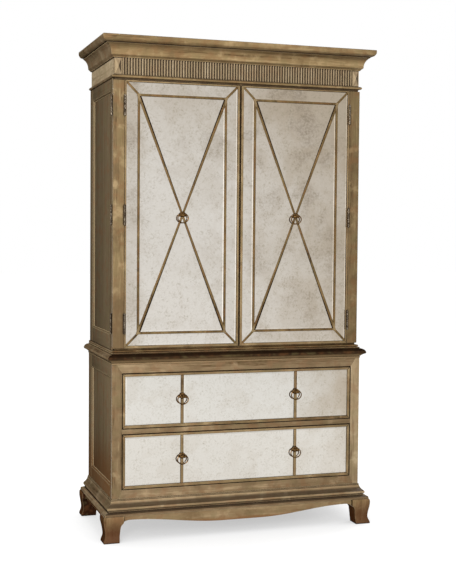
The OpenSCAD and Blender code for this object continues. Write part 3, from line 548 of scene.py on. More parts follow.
# A near-black finish for the back feet's fronts under the case: painted shade
shaded_foot = glazed_set("shaded_back_foot", "Z", (32, 16, 9), (52, 30, 18), (78, 50, 32), sheen=0.0)
umber = glazed_set("umber_side", "YZ", (112, 95, 70), (126, 109, 84), (138, 121, 95),
                   groove=5, sheen=0.0, worn=0.8, blotches=0.2)
low_umber = glazed_set("umber_chest_side", "YZ", (114, 96, 70), (130, 112, 86), (142, 124, 98),
                       groove=5, sheen=0.0, worn=0.8, blotches=0.2,
                       low_tone=(*SIDE_REDDENS, (122, 86, 54)))
top_umber = glazed_set("umber_top", "X", (84, 66, 44), (118, 100, 74), (142, 124, 96))
# The frieze's reeds and blocks are darker on right-hand slopes and paler on left-hand ones: painted
# shade and painted highlight
frieze_gold = glazed_set("frieze_gold", "Z", (84, 64, 40), (158, 136, 105), (204, 184, 152),
                         groove=6, hold=(0.97, 0.65), wiped=0.9, blotches=0.3)
# The frieze sides' pale finish is made paler still: painted light against the crown's shade
frieze_side = glazed_set("frieze_side_gold", "Y", (160, 138, 104), (214, 192, 155), (232, 212, 176),
                         groove=6, sheen=0.0)
bar_gold = glazed_set("bar_gold", "Z", (62, 45, 25), (118, 94, 58), (146, 120, 80), groove=3, worn=0.3)
door_mirror = old_mirror("antiqued_door_mirror", srgb(216, 211, 203), bright_to=-0.2,
                         dull_per_metre=1.1, top_dull=0.42, left_dull=0.35)
drawer_mirrors = {
    "upper": old_mirror("antiqued_upper_drawer_mirror", srgb(209, 206, 199), bright_to=0.2,
                        dull_per_metre=2.4),
    "lower": old_mirror("antiqued_lower_drawer_mirror", srgb(209, 205, 197), bright_to=0.3,
                        dull_per_metre=1.4),
}
inner_wood = plain_boards("inner_boards", srgb(182, 148, 104), srgb(202, 170, 126), srgb(140, 106, 68))
old_brass = old_metal("antique_brass", srgb(88, 64, 36), srgb(146, 112, 68), srgb(30, 21, 12))
hinge_brass = old_metal("dark_hinge_brass", srgb(72, 62, 51), srgb(132, 122, 106), srgb(34, 27, 20))
rod_steel = old_metal("rod_steel", srgb(176, 174, 170), srgb(200, 198, 194), srgb(120, 118, 114),
                      rough=(0.22, 0.34))

# ------------ finishes of the frame's nodes

NODE_FINISH = [
    (inner_wood, ["lower_bottom", "lower_top", "lower_back", "dust_board", "drawer_runners",
                  "upper_bottom", "upper_top", "upper_back", "shelf", "drawer_upper_box",
                  "drawer_lower_box"]),
    (hinge_brass, ["inner_fittings", "case_hinges", "stile_hinges_left", "stile_hinges_right",
                   "door_fittings_left", "door_fittings_right"]),
    (old_brass, ["ring_door_left", "ring_door_right", "ring_upper_left", "ring_upper_right",
                 "ring_lower_left", "ring_lower_right"]),
    (rod_steel, ["clothes_rod"]),
    (frieze_gold["Z"], ["frieze_blocks"]),
    (top_umber["X"], ["crown_top"]),
]
for finish, nodes in NODE_FINISH:
    for node in nodes:
        mesh = frame["nodes"][node].data
        mesh.materials.clear()
        mesh.materials.append(finish)

# ------------ mouldings


def base_section(height, out=38.5):
    """Worn step, torus, cove and bead, with a recess under the torus."""
    bead_z = height - 5
    return (
        [(out, 0)]
        + arc(out - 8, 7, 8, 6, 0, 90)
        + [(out - 20, 14), (out - 20, 20.5)]
        + arc(out - 22, 29.5, 8.5, 9, -75, 60)
        + hollow(out - 18.5, 38, 4.5, bead_z - 3.3, 3)
        + arc(0, bead_z, 4.5, 2.8, -70, 80)
        + [(0.5, height - 2), (0.5, height)]
    )


def waist_section(height, out=24):
    """Fillet, recess, a rising hollow, a sharp nose and a round top."""
    nose_z = height - 24
    return (
        [(2.5, 0), (2.5, 5), (1, 5), (1, 7)]
        + hollow(2.5, 8, out - 4.5, nose_z - 5, 1)
        + arc(out - 5, nose_z, 5, 5, -70, -10, 6)
        + arc(2, nose_z, out - 2, height - 6 - nose_z, 0, 90)
        + [(0.5, height - 5.5), (0.5, height)]
    )


def astragal_section(height):
    """A bead over a recess."""
    return [(-6, 0), (-6, 7)] + arc(1.5, 13, 6, 6, -85, 80) + [(1.5, height - 1), (1.5, height)]


def plinth_section(height):
    """A bead under a recess."""
    return [(2, 0)] + arc(2, 5, 4, 4.5, -70, 85) + [(-10, 9.5), (-10, height)]


def crown_section(height, out=57, step=37):
    """Ogee foot, cove, recess, a full round and a flat band."""
    cove_end = math.radians(69)
    band_z = height - 30
    cove_rx = (step - 12) / (1 - math.cos(cove_end))
    cove_rz = (band_z - 3 - 14) / math.sin(cove_end)
    return (
        swing(1, 0, 12, 13)
        + arc(12 + cove_rx, 14, cove_rx, cove_rz, 180, 111, 20)
        + [(step - 2.5, band_z - 2.5), (step - 2.5, band_z)]
        + arc(step + 1, band_z + 21, out - step - 1, 21, -90, 0)
        + arc(out - 3, height - 3, 3, 3, 0, 90, 4)
    )


RECESS_BACK = 14
RAIL_LAP, RAIL_EASE, MITRE_EASE = 2, 0.3 * MM, 0.5 * MM


def moulding(name, node, section, half, front, finish, depth=0):
    """Sweeps a section round the left side, the front and the right side, with mitred corners.

    The front has the given finish, and the sides the duller one that all mouldings share."""
    bm = bmesh.new()
    foot = low(node).z
    outline = section + [(-depth, section[-1][1]), (-depth, section[0][1])]
    places = [
        lambda o: (-half - o, CASE_BACK),
        lambda o: (-half - o, front - o),
        lambda o: (half + o, front - o),
        lambda o: (half + o, CASE_BACK),
    ]

    def station(place):
        return [(*place(o * MM), foot + z * MM) for o, z in outline]

    ring = start_ring(bm, station(places[0]))
    bm.faces.new(ring).material_index = 1
    mitres = []
    for k, place in enumerate(places[1:]):
        ring = extrude_ring(bm, ring, station(place), 0 if k == 1 else 1)
        if k < 2:
            mitres += loop_edges(ring)[:len(section) - 1]
    bm.faces.new(ring).material_index = 1
    soften(bm, mitres, MITRE_EASE, 1)
    finish_piece(name, bm, "case", [finish["X"], side_run["Y"]], [node])


for node, section, half, front, finish, depth in (
        ("base_moulding", base_section, CHEST_HALF, CHEST_FRONT, base_gold, 0),
        ("waist_moulding", waist_section, CHEST_HALF, CHEST_FRONT, dark_glaze_and_shade_gold, 0),
        ("plinth_bead", plinth_section, CASE_HALF, CASE_FRONT, bead_gold, RECESS_BACK),
        ("astragal", astragal_section, CASE_HALF, CASE_FRONT, crown_gold, RECESS_BACK)):
    moulding(f"{node}_swept", node, section(node_height(node)), half, front, finish, depth)

FRIEZE_SET_BACK = 5
moulding("crown_swept", "crown_moulding",
         [(o + FRIEZE_SET_BACK, z) for o, z in crown_section(node_height("crown_moulding"))],
         FRIEZE_HALF, FRIEZE_FRONT, crown_gold)

# The rails behind the beads over and under the doors, up to the front of the side frames
bm = bmesh.new()
rail_half = CASE_HALF - RECESS_BACK * MM
rail_front = CASE_FRONT + (RECESS_BACK - RAIL_LAP) * MM
for node in ("plinth_bead", "astragal"):
    board(bm, (-rail_half, rail_front, low(node).z), (rail_half, SIDE_FRONT, high(node).z), RAIL_EASE)
# Their dark finish is painted shade in the recess
finish_piece("door_space_rails", bm, "case", [dark_glaze_and_shade_gold["X"]])

# ------------ frieze

REEDS = 44
REED_JOINT, REED_GAP, REED_SEAT = 0.6, 0.1, 0.5
BLOCK_WIDTH = 33
FRIEZE_BOARD, FRIEZE_EASE = 18 * MM, 0.4 * MM
frieze_foot = low("frieze_reeding").z
reed_front = low("frieze_reeding").y / MM
reed_back = FRIEZE_FRONT / MM
reed_run = FRIEZE_HALF / MM - BLOCK_WIDTH - REED_JOINT
reed_pitch = reed_run / REEDS
reed_r = min(reed_pitch / 2 - REED_GAP, reed_back - reed_front - REED_SEAT)
reed = arc(0, 0, reed_r, reed_r, 0, 180, 10)
bm = bmesh.new()
for side in (-1, 1):
    outline = [(REED_JOINT, reed_back), (REED_JOINT, reed_front + reed_r)]
    for k in range(REEDS):
        middle = REED_JOINT + reed_pitch * (k + 0.5)
        outline += [(middle - x, reed_front + reed_r - y) for x, y in reed]
    outline += [(REED_JOINT + reed_run, reed_front + reed_r), (REED_JOINT + reed_run, reed_back)]
    corners = [(side * x * MM, y * MM, frieze_foot) for x, y in outline]
    prism(bm, corners, (0, 0, node_height("frieze_reeding") * MM))
finish_piece("frieze_reeds", bm, "case", [frieze_gold["Z"]], ["frieze_reeding"], sharp=50)

bm = bmesh.new()
lo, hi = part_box("frieze_boards")
in_x0, in_x1, in_y0, in_y1 = (lo.x + FRIEZE_BOARD, hi.x - FRIEZE_BOARD, lo.y + FRIEZE_BOARD,
                              hi.y - FRIEZE_BOARD)
for x0, x1, y0, y1, slot in ((lo.x, hi.x, lo.y, in_y0, 0), (lo.x, in_x0, in_y0, hi.y, 1),
                             (in_x1, hi.x, in_y0, hi.y, 1), (in_x0, in_x1, in_y1, hi.y, 2)):
    board(bm, (x0, y0, lo.z), (x1, y1, hi.z), FRIEZE_EASE, 1, slot)
finish_piece("frieze_box", bm, "case", [crown_gold["X"], frieze_side["Y"], inner_wood],
             ["frieze_boards"])

# ------------ feet and aprons

# The inner line of a foot: its toe, the spring of the arch, and the arch
FOOT_JOINT, TOE_IN, SPRING_IN, SPRING_Z = 44, 25, 30.5, 62
ARCH_X, ARCH_RX, ARCH_RZ = 76.5, 46, 34
# The outer line, from the toe over the ankle and the knee to the shoulder
TOE_OUT, ANKLE_OUT, KNEE_OUT, SHOULDER_IN = 45, 36, 44.5, 5
TOE_ROUND, TOE_LIFT, ANKLE_Z, KNEE_Z = 2, 2, 33, 101
BACK_FOOT, FOOT_ARRIS = 80, 2
foot_top = FOOT_TOP / MM
joint_angle = math.degrees(math.acos((ARCH_X - FOOT_JOINT) / ARCH_RX))
outer_line = (
    [(TOE_OUT - TOE_ROUND, 0), (TOE_OUT - 0.6, 0.8)]
    + swing(TOE_OUT, TOE_LIFT, ANKLE_OUT, ANKLE_Z, 14)
    + swing(ANKLE_OUT, ANKLE_Z, KNEE_OUT, KNEE_Z, 22)
    + arc(KNEE_OUT - SHOULDER_IN, KNEE_Z, SHOULDER_IN, foot_top - KNEE_Z, 0, 90, 8)
)


def inner_edge(z):
    """How far inside the case's face a foot reaches at a height, in millimetres."""
    if z <= SPRING_Z:
        return TOE_IN + (SPRING_IN - TOE_IN) * z / SPRING_Z
    across = math.sqrt(max(0.0, 1 - ((z - SPRING_Z) / ARCH_RZ) ** 2))
    return min(FOOT_JOINT, ARCH_X - ARCH_RX * across)


def foot(name, side, node, rear=False):
    """A bracket foot built up level by level from its toe."""
    bm = bmesh.new()

    def level(out, z):
        into = inner_edge(z)
        x0, x1 = CHEST_HALF / MM - into, CHEST_HALF / MM + out
        if rear:
            # The side's arch cuts the back foot's front edge, and its back is flush with the case
            y0, y1 = CASE_BACK / MM - BACK_FOOT + FOOT_JOINT - into, CASE_BACK / MM
            corners = [(x0, y0), (x1, y0), (x1, y1), (x0, y1)]
        else:
            y0, y1 = CHEST_FRONT / MM - out, CHEST_FRONT / MM + into
            corners = [(x0, y1), (x0, y0), (x1 - FOOT_ARRIS, y0), (x1, y0 + FOOT_ARRIS), (x1, y1)]
        return [(side * x * MM, y * MM, z * MM) for x, y in corners]

    ring = start_ring(bm, level(*outer_line[0]))
    bm.faces.new(ring)
    for out, z in outer_line[1:]:
        ring = extrude_ring(bm, ring, level(out, z))
    bm.faces.new(ring)
    # Faces that look sideways take the darker copy of the gold, painted shade, and a back foot's front,
    # in the shade under the case, a near-black one, painted shade too
    assign_slots_by_facing(bm, lambda normal: 1 if abs(normal.x) > 0.8 else 0)
    facing_front = shaded_foot if rear else foot_gold
    finish_piece(name, bm, "case", [facing_front["Z"], shaded_side_foot["Z"]], [node])


for name, side in (("left", -1), ("right", 1)):
    foot(f"bracket_foot_front_{name}", side, f"foot_front_{name}")
    foot(f"bracket_foot_back_{name}", side, f"foot_back_{name}", rear=True)

APRON_OUT, APRON_THICK, APRON_FLAT, APRON_MIDDLE = 31, 20, 90, 63.5
APRON_ROUND, HAIR = 1.5 * MM, 0.1 * MM
chest_half = CHEST_HALF / MM
arch_run = arc(-ARCH_X, SPRING_Z, ARCH_RX, ARCH_RZ, 90, joint_angle, 8)
# The front's lower edge: flat in the middle, rising to the arches beside the feet
half_line = [(0, APRON_MIDDLE)]
half_line += [(x, z) for z, x in swing(APRON_MIDDLE, APRON_FLAT, SPRING_Z + ARCH_RZ,
                                       chest_half - ARCH_X, 36)]
half_line += [(chest_half + x, z) for x, z in arch_run] + [(chest_half - FOOT_JOINT, foot_top)]
front_outline = half_line + [(-x, z) for x, z in reversed(half_line) if x > 0]
bm = bmesh.new()
apron_y = CHEST_FRONT - APRON_OUT * MM
verts = prism(bm, [(x * MM, apron_y, z * MM) for x, z in front_outline], (0, APRON_THICK * MM, 0))
shown = [e for e in edges_of(verts)
         if all(abs(v.co.y - apron_y) < SAME and v.co.z < FOOT_TOP - HAIR for v in e.verts)]
soften(bm, shown, APRON_ROUND, 3)
finish_piece("front_apron", bm, "case", [apron_gold["X"]], ["aprons"])

bm = bmesh.new()
y_front = CHEST_FRONT / MM + FOOT_JOINT
y_back = CASE_BACK / MM - BACK_FOOT
ends = [(x + FOOT_JOINT, z) for x, z in reversed(arch_run)]
side_outline = [(y_front, foot_top)] + [(y_front - x, z) for x, z in ends]
side_outline += [(y_back + x, z) for x, z in reversed(ends)] + [(y_back, foot_top)]
for side in (-1, 1):
    x = side * (CHEST_HALF + APRON_OUT * MM)
    prism(bm, [(x, y * MM, z * MM) for y, z in side_outline], (-side * APRON_THICK * MM, 0, 0))
# The side aprons take the darker copy of the gold too: painted shade
finish_piece("side_aprons", bm, "case", [shaded_side_foot["Y"]], ["aprons"])

# ------------ framed sides

PANEL_SUNK, STICKING = 8.5, 9
FRAME_EASE, PANEL_EASE = 0.7 * MM, 0.2 * MM
# Width across the frame and depth below its face, from the face down to the panel
STICKING_LINE = [(0, 1.2), (2.2, 1.2), (2.8, 2.4), (STICKING - 1.5, PANEL_SUNK - 1.6),
                 (STICKING, PANEL_SUNK - 0.4), (STICKING, PANEL_SUNK + 1), (0, PANEL_SUNK + 1)]


def framed_side(name, node, side, wood, front, back, bottom, top):
    """Stiles and rails round a sunk panel, with a small moulding mitred round the panel.

    Front, back, bottom and top are the widths of the stiles and rails."""
    lo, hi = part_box(node)
    outer = max(abs(lo.x), abs(hi.x))
    inner = min(abs(lo.x), abs(hi.x))
    y0, y1, z0, z1 = lo.y + front * MM, hi.y - back * MM, lo.z + bottom * MM, hi.z - top * MM
    bm = bmesh.new()
    strips = [(lo.y, y0, lo.z, hi.z, 0, 0), (y1, hi.y, lo.z, hi.z, 0, 0), (y0, y1, lo.z, z0, 0, 1),
              (y0, y1, z1, hi.z, 0, 1), (y0, y1, z0, z1, PANEL_SUNK, 0)]
    for ya, yb, za, zb, sunk, slot in strips:
        xa, xb = sorted((side * inner, side * (outer - sunk * MM)))
        board(bm, (xa, ya, za), (xb, yb, zb), PANEL_EASE if sunk else FRAME_EASE, 2, slot)
    corners = [(y0, z0, 1, 1), (y1, z0, -1, 1), (y1, z1, -1, -1), (y0, z1, 1, -1)]

    def station(corner):
        y, z, in_y, in_z = corner
        return [(side * (outer - depth * MM), y + in_y * across * MM, z + in_z * across * MM)
                for across, depth in STICKING_LINE]

    ring = start_ring(bm, station(corners[0]))
    for k, corner in enumerate(corners[1:] + corners[:1]):
        ring = extrude_ring(bm, ring, station(corner), 1 - k % 2)
    finish_piece(name, bm, "case", [wood["Z"], wood["Y"]], [node])


for name, side in (("left", -1), ("right", 1)):
    framed_side(f"upper_side_frame_{name}", f"upper_side_{name}", side, umber,
                front=38, back=60, bottom=75, top=65)
    framed_side(f"lower_side_frame_{name}", f"lower_side_{name}", side, low_umber,
                front=20, back=72, bottom=121, top=86)

# ------------ face frame of the chest

DRAWER_GAP = 3 * MM
lo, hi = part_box("lower_face_frame")
open_half = high("drawer_upper_front").x + DRAWER_GAP
open_lo = low("drawer_lower_front").z - DRAWER_GAP
open_hi = high("drawer_upper_front").z + DRAWER_GAP
rail_lo = high("drawer_lower_front").z + DRAWER_GAP
rail_hi = low("drawer_upper_front").z - DRAWER_GAP


def mitred_frame(bm, outer, inner, y, depth, slots=(0, 0, 0, 0)):
    """Four mitred strips between two outlines of (x, z) corners. Yields each strip's vertices."""
    for k in range(4):
        j = (k + 1) % 4
        quad = (outer[k], outer[j], inner[j], inner[k])
        yield prism(bm, [(x, y, z) for x, z in quad], (0, depth, 0), slots[k])


def corners_of(x0, x1, z0, z1):
    """Corners anticlockwise from the lower left."""
    return [(x0, z0), (x1, z0), (x1, z1), (x0, z1)]


bm = bmesh.new()
for verts in mitred_frame(bm, corners_of(-hi.x, hi.x, lo.z, hi.z),
                          corners_of(-open_half, open_half, open_lo, open_hi), lo.y, hi.y - lo.y,
                          (0, 2, 3, 1)):
    soften(bm, edges_of(verts), FRAME_EASE)
board(bm, (-open_half, lo.y, rail_lo), (open_half, hi.y, rail_hi), FRAME_EASE)
finish_piece("chest_face_frame", bm, "case",
             [rail_gold["X"], low_gold["Z"], right_gold["Z"], high_rail_gold["X"]],
             ["lower_face_frame"])

# ------------ hinged stiles

STILE_ROUND = 1.6 * MM
for name, side, wood in (("left", -1, left_gold), ("right", 1, gold)):
    node = f"stile_{name}"
    bm = bmesh.new()
    board(bm, low(node), high(node), STILE_ROUND, 3)
    finish_piece(f"hinged_stile_{name}", bm, node, [wood["Z"]], [node])

# ------------ doors

# Widths of the wooden edge at the meeting line, the hinges, the foot and the top
EDGE_MEET, EDGE_HINGE, EDGE_LOW, EDGE_TOP = 12 * MM, 7.5 * MM, 10.5 * MM, 6 * MM
MEETING_STEP = 2.4 * MM
BAND, BAR = 50 * MM, 10 * MM
# The glass: how far it is set back, its thickness, its ground edge, and the gap round it
GLASS_IN, GLASS_T = 3 * MM, 4 * MM
GROUND_EDGE, GROUND_FALL, TIGHT = 6 * MM, 1.1 * MM, 0.2 * MM
# The seat behind the glass, and how far the edge laps into it and the bars stay off it
SEAT = GLASS_IN + GLASS_T
LAP, BAR_CLEAR, BAR_SUNK = 2 * MM, 0.3 * MM, 0.1 * MM
BACK_EASE, EDGE_ROUND, BAR_ROUND, TRIM_ROUND = 0.5 * MM, 1.3 * MM, 2.6 * MM, 2.4 * MM
MIRROR_SHARP = 3


def cut_by(polygon, a, b, gap):
    """Keeps the part of a convex polygon on the left of the line a-b, moved in by a gap."""
    dx, dz = b[0] - a[0], b[1] - a[1]
    length = math.hypot(dx, dz)

    def distance(p):
        return ((p[1] - a[1]) * dx - (p[0] - a[0]) * dz) / length - gap

    kept = []
    for p, q in zip(polygon, polygon[1:] + polygon[:1]):
        dp, dq = distance(p), distance(q)
        if dp >= 0:
            kept.append(p)
        if dp * dq < 0:
            t = dp / (dp - dq)
            kept.append((p[0] + (q[0] - p[0]) * t, p[1] + (q[1] - p[1]) * t))
    return kept


def cut_pane(bm, corners, sides, face_y):
    """A pane inside a polygon of (x, z) corners. A side is its gap and whether it is ground."""
    edges = list(zip(corners, corners[1:] + corners[:1], sides))
    outline = corners
    for a, b, (gap, ground) in edges:
        outline = cut_by(outline, a, b, gap + TIGHT)
    pane = bmesh.new()
    prism(pane, [(x, face_y + GLASS_T, z) for x, z in outline], (0, -GLASS_T, 0))
    for a, b, (gap, ground) in edges:
        if ground:
            outwards = Vector((b[1] - a[1], 0, a[0] - b[0])).normalized()
            place = Vector((a[0], face_y, a[1])) - outwards * (gap + TIGHT + GROUND_EDGE)
            slope = outwards * GROUND_FALL - Vector((0, GROUND_EDGE, 0))
            parts = pane.verts[:] + pane.edges[:] + pane.faces[:]
            cut = bmesh.ops.bisect_plane(pane, geom=parts, plane_co=place, plane_no=slope,
                                         clear_outer=True)["geom_cut"]
            rim = [part for part in cut if isinstance(part, bmesh.types.BMEdge)]
            bmesh.ops.contextual_create(pane, geom=rim)
    loose = bpy.data.meshes.new("pane")
    pane.to_mesh(loose)
    pane.free()
    bm.from_mesh(loose)
    bpy.data.meshes.remove(loose)


def bar_between(bm, a, b, width, y, depth, slot=0):
    """A bar with rounded face arrises between two points of the front."""
    a, b = Vector((a[0], y, a[1])), Vector((b[0], y, b[1]))
    along = (b - a).normalized()
    across = Vector((along.z, 0, -along.x)) * width / 2
    verts = prism(bm, [a - across, b - across, b + across, a + across], (0, depth, 0), slot)
    soften_face(bm, verts, y, BAR_ROUND)


def door(name, side, wood):
    """A door: its board and wooden edge, the bars, and the panes between them."""
    body = f"door_{name}"
    lo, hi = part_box(body)
    y = lo.y
    hinge_x, meet_x = (lo.x, hi.x) if side < 0 else (hi.x, lo.x)
    x0, x1 = sorted((hinge_x - side * EDGE_HINGE, meet_x + side * EDGE_MEET))
    z0, z1 = lo.z + EDGE_LOW, hi.z - EDGE_TOP
    field = corners_of(x0, x1, z0, z1)
    outer = corners_of(x0 + BAND, x1 - BAND, z0 + BAND, z1 - BAND)
    inner = corners_of(x0 + BAND + BAR, x1 - BAND - BAR, z0 + BAND + BAR, z1 - BAND - BAR)
    centre = ((x0 + x1) / 2, (z0 + z1) / 2)
    # The board behind the mirrors, and the wooden edge round them
    bm = bmesh.new()
    board(bm, (lo.x, y + SEAT, lo.z), hi, BACK_EASE, 1)
    # The board's face behind the mirrors takes the dark gold: painted shade where it shows in the gaps
    assign_slots_by_facing(bm, lambda normal: 2 if normal.y < -0.5 else 0)
    edge_x = sorted((hinge_x, meet_x + side * MEETING_STEP))
    for verts in mitred_frame(bm, corners_of(*edge_x, lo.z, hi.z), field, y, SEAT + LAP,
                              (1, 0, 1, 0)):
        soften_face(bm, verts, y, EDGE_ROUND)
    finish_piece(f"door_board_{name}", bm, body, [wood["Z"], wood["X"], dark_glaze_and_shade_gold["X"]],
                 [body])
    # The bars: the inner rectangle, four to the corners, and four that cross in the middle
    bm = bmesh.new()
    depth = SEAT - BAR_CLEAR
    for verts in mitred_frame(bm, outer, inner, y, depth):
        soften_face(bm, verts, y, BAR_ROUND)
    for k in range(4):
        bar_between(bm, field[k], inner[k], BAR, y, depth)
        bar_between(bm, outer[k], centre, BAR, y + BAR_SUNK, depth - BAR_SUNK)
    finish_piece(f"door_lattice_{name}", bm, body, [bar_gold["Z"]],
                 [f"door_bars_{name}"])
    # The panes: four in the outer band and four round the crossing
    bm = bmesh.new()
    edge, mitre = (0, True), (BAR / 2, False)
    face_y = y + GLASS_IN
    for k in range(4):
        j = (k + 1) % 4
        cut_pane(bm, [field[k], field[j], outer[j], outer[k]], (edge, mitre, edge, mitre), face_y)
        cut_pane(bm, [inner[k], inner[j], centre], (edge, mitre, mitre), face_y)
    finish_piece(f"door_panes_{name}", bm, body, [door_mirror], [f"door_mirrors_{name}"],
                 sharp=MIRROR_SHARP)


# ------------ pulls

PULL_STAND, CREST_THICK, CREST_ROUND = 9 * MM, 6 * MM, 1.8 * MM
HUB_R, HUB_HALF, HUB_ROUND, RIM_ANGLE = 7 * MM, 13 * MM, 2.4 * MM, 1.2
SCREW_R, SCREW_HEAD_R, SCREW_HEAD_T, SCREW_BITE = 2 * MM, 4.5 * MM, 2 * MM, 1 * MM
CREST_HALF = [(0, 15), (3, 14.8), (7, 13.5), (11, 10.5), (16, 6.2), (20, 4.5), (20.6, 1), (19, -3),
              (13, -4.5), (13, -7), (0, -7)]


def rod(bm, about, middle, radius, length, segments):
    """A round bar, a quarter turn from upright about an axis. Returns its vertices."""
    turned = Matrix.Translation(middle) @ Matrix.Rotation(math.pi / 2, 4, about)
    return bmesh.ops.create_cone(bm, cap_ends=True, cap_tris=False, segments=segments, radius1=radius,
                                 radius2=radius, depth=length, matrix=turned)["verts"]


def pull(bm, place, thickness):
    """Crest and hub round the point where the ring hangs, and the screw behind."""
    x, y, z = place
    outline = CREST_HALF + [(-a, b) for a, b in reversed(CREST_HALF[1:-1])]
    stand = y + PULL_STAND
    face = stand - CREST_THICK
    verts = prism(bm, [(x + a * MM, stand, z + b * MM) for a, b in outline], (0, face - stand, 0))
    soften_face(bm, verts, face, CREST_ROUND)
    hub = rod(bm, "Y", place, HUB_R, 2 * HUB_HALF, 40)
    rims = [e for e in edges_of(hub) if e.calc_face_angle() > RIM_ANGLE]
    soften(bm, rims, HUB_ROUND, 4)
    # The screw and its head inside the drawer or the door
    back = stand + thickness
    for radius, start_y, end_y in ((SCREW_R, stand - SCREW_BITE, back),
                                   (SCREW_HEAD_R, back, back + SCREW_HEAD_T)):
        rod(bm, "X", (x, (start_y + end_y) / 2, z), radius, end_y - start_y, 32)


joints = {joint["name"]: joint for joint in frame["joints"]}


def ring_place(name):
    """The point that a ring swings round."""
    return Vector(joints[f"ring_{name}_swing"]["pos_m"])


# What the screws of the pulls go through
DOOR_BOARD, DRAWER_BOARD = 22 * MM, 20 * MM
for name, side in (("left", -1), ("right", 1)):
    door(name, side, trim_gold)
    bm = bmesh.new()
    pull(bm, ring_place(f"door_{name}"), DOOR_BOARD)
    finish_piece(f"door_pull_mount_{name}", bm, f"door_{name}", [old_brass],
                 [f"door_pull_{name}"])

# ------------ drawers

# Width of the trim, and how far it steps back at the sides and at the top
TRIM, SIDE_STEP, TOP_STEP = 13 * MM, 1 * MM, 2 * MM
bar_x = abs(ring_place("upper_left").x)
for level in ("upper", "lower"):
    lo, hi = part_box(f"drawer_{level}_front")
    body = f"drawer_{level}"
    y = lo.y
    pane_x, pane_lo, pane_hi = hi.x - TRIM, lo.z + TRIM, hi.z - TRIM
    bm = bmesh.new()
    board(bm, (lo.x, y + SEAT, lo.z), hi, BACK_EASE, 1)
    # The board's top, bottom and side faces take the dark gold: painted shade in the gaps round the
    # drawer
    assign_slots_by_facing(bm, lambda normal: 0 if abs(normal.y) > 0.5 else 2)
    for verts in mitred_frame(bm, corners_of(lo.x + SIDE_STEP, hi.x - SIDE_STEP, lo.z, hi.z - TOP_STEP),
                              corners_of(-pane_x, pane_x, pane_lo, pane_hi), y, SEAT + LAP,
                              (0, 1, 0, 1)):
        soften_face(bm, verts, y, TRIM_ROUND, 4)
    for x in (-bar_x, bar_x):
        bar_between(bm, (x, pane_lo), (x, pane_hi), TRIM, y, SEAT, 1)
    finish_piece(f"drawer_{level}_facing", bm, body,
                 [trim_gold["X"], trim_gold["Z"], dark_glaze_and_shade_gold["X"]], [f"drawer_{level}_front"])
    bm = bmesh.new()
    reach = bar_x + TRIM / 2
    for x0, x1 in ((-pane_x, -reach), (TRIM - reach, reach - TRIM), (reach, pane_x)):
        cut_pane(bm, corners_of(x0, x1, pane_lo, pane_hi), [(0, True)] * 4, y + GLASS_IN)
    finish_piece(f"drawer_{level}_panes", bm, body, [drawer_mirrors[level]],
                 [f"drawer_{level}_mirrors"], sharp=MIRROR_SHARP)
    bm = bmesh.new()
    for name in ("left", "right"):
        pull(bm, ring_place(f"{level}_{name}"), DRAWER_BOARD)
    finish_piece(f"drawer_{level}_pull_mounts", bm, body, [old_brass],
                 [f"drawer_{level}_pulls"])

# ------------ floor, light and camera

FLOOR_HALF, FLOOR_GREY, FLOOR_GLOW, SHADE_REACH = 30, 0.2, 0.5, 0.8
SKY_LIGHT = 0.14
WHITE = (1, 1, 1, 1)


def shown_to_eye(tree):
    """1 for what the camera, a mirror or glass sees, and 0 for the light that falls on things."""
    seen = add(tree, "ShaderNodeLightPath")
    direct = maths(tree, "MAXIMUM", seen.outputs["Is Camera Ray"], seen.outputs["Is Glossy Ray"])
    return maths(tree, "MAXIMUM", direct, seen.outputs["Is Transmission Ray"])


def floor_material():
    """A pale floor that is white to the camera and the mirrors. Its glow dims near the case, a painted
    soft shadow, while its matt part keeps the object's real shadow.
    """
    material = bpy.data.materials.new("pale_floor")
    tree = empty_tree(material)
    # The glow dims where the case crowds the floor: a painted soft shadow
    glow_with_painted_shadow = remap(tree, hollows(tree, SHADE_REACH), 0.0, 0.9, FLOOR_GLOW, 1.0, "LINEAR")
    strength = product(tree, shown_to_eye(tree), glow_with_painted_shadow)
    glow = add(tree, "ShaderNodeEmission", {"Color": WHITE, "Strength": strength})
    matt = add(tree, "ShaderNodeBsdfDiffuse", {"Color": (FLOOR_GREY, FLOOR_GREY, FLOOR_GREY, 1)})
    both = add(tree, "ShaderNodeAddShader", {0: glow.outputs[0], 1: matt.outputs[0]})
    add(tree, "ShaderNodeOutputMaterial", {"Surface": both.outputs[0]})
    return material


bm = bmesh.new()
bmesh.ops.create_grid(bm, x_segments=1, y_segments=1, size=FLOOR_HALF)
mesh = bpy.data.meshes.new("floor")
bm.to_mesh(mesh)
bm.free()
floor = bpy.data.objects.new("floor", mesh)
bpy.context.scene.collection.objects.link(floor)
mesh.materials.append(floor_material())

world = bpy.data.worlds.new("studio")
bpy.context.scene.world = world
tree = empty_tree(world)
strength = remap(tree, shown_to_eye(tree), 0, 1, SKY_LIGHT, 1.0, "LINEAR")
sky = add(tree, "ShaderNodeBackground", {"Color": WHITE, "Strength": strength})
add(tree, "ShaderNodeOutputWorld", {"Surface": sky.outputs[0]})


LAMP_TARGET = Vector((0, CASE_FRONT, 1.2))


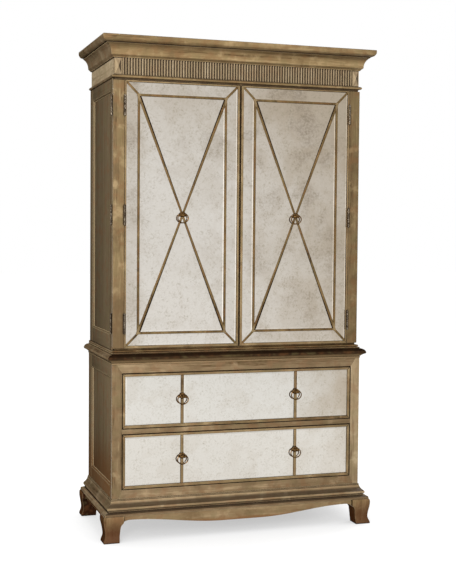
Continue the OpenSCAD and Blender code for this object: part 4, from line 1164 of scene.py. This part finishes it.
def lamp(name, azimuth, distance, height, size, power):
    """A soft rectangular lamp that faces the doors. Azimuth is in degrees from the front."""
    light = bpy.data.lights.new(name, "AREA")
    light.shape = "RECTANGLE"
    light.size, light.size_y = size
    light.energy = power
    turn = math.radians(azimuth)
    obj = bpy.data.objects.new(name, light)
    obj.location = (distance * math.sin(turn), CASE_FRONT - distance * math.cos(turn), height)
    obj.rotation_euler = (LAMP_TARGET - obj.location).to_track_quat("-Z", "Y").to_euler()
    bpy.context.scene.collection.objects.link(obj)


# Azimuth, distance, height, size and power
lamp("front_left_lamp", -30, 6.2, 2.5, (1.6, 1.8), 380)
lamp("right_softbox", 44, 8.75, 1.6, (3.0, 4.2), 26)
lamp("right_side_lamp", 115, 6.2, 2.5, (1.6, 1.8), 220)
lamp("back_lamp", 180, 6.2, 4.0, (2.0, 2.0), 260)

# Place, turn, tilt and roll, and the focal length in heights of the view
CAMERA_X, CAMERA_BEFORE_DOORS, CAMERA_Z = -1.6287, 4.7713, 1.3504
CAMERA_TURN = (18.26, -2.69, 0.46)
SENSOR, FOCAL_IN_HEIGHTS = 36.0, 1121.9 / 570
yaw, pitch, roll = [math.radians(angle) for angle in CAMERA_TURN]
forward = Vector((math.sin(yaw) * math.cos(pitch), math.cos(yaw) * math.cos(pitch), math.sin(pitch)))
right = forward.cross(Vector((0, 0, 1))).normalized()
up = right.cross(forward)
right, up = (math.cos(roll) * right + math.sin(roll) * up,
             math.cos(roll) * up - math.sin(roll) * right)
camera_data = bpy.data.cameras.new("camera")
camera_data.sensor_width = SENSOR
camera_data.lens = FOCAL_IN_HEIGHTS * SENSOR
camera_data.clip_end = 100
camera = bpy.data.objects.new("camera", camera_data)
axes = Matrix((right, up, -forward)).transposed().to_4x4()
spot = (CAMERA_X, CASE_FRONT - CAMERA_BEFORE_DOORS, CAMERA_Z)
camera.matrix_world = Matrix.Translation(spot) @ axes
bpy.context.scene.collection.objects.link(camera)
bpy.context.scene.camera = camera
bpy.context.scene.view_settings.view_transform = "Standard"
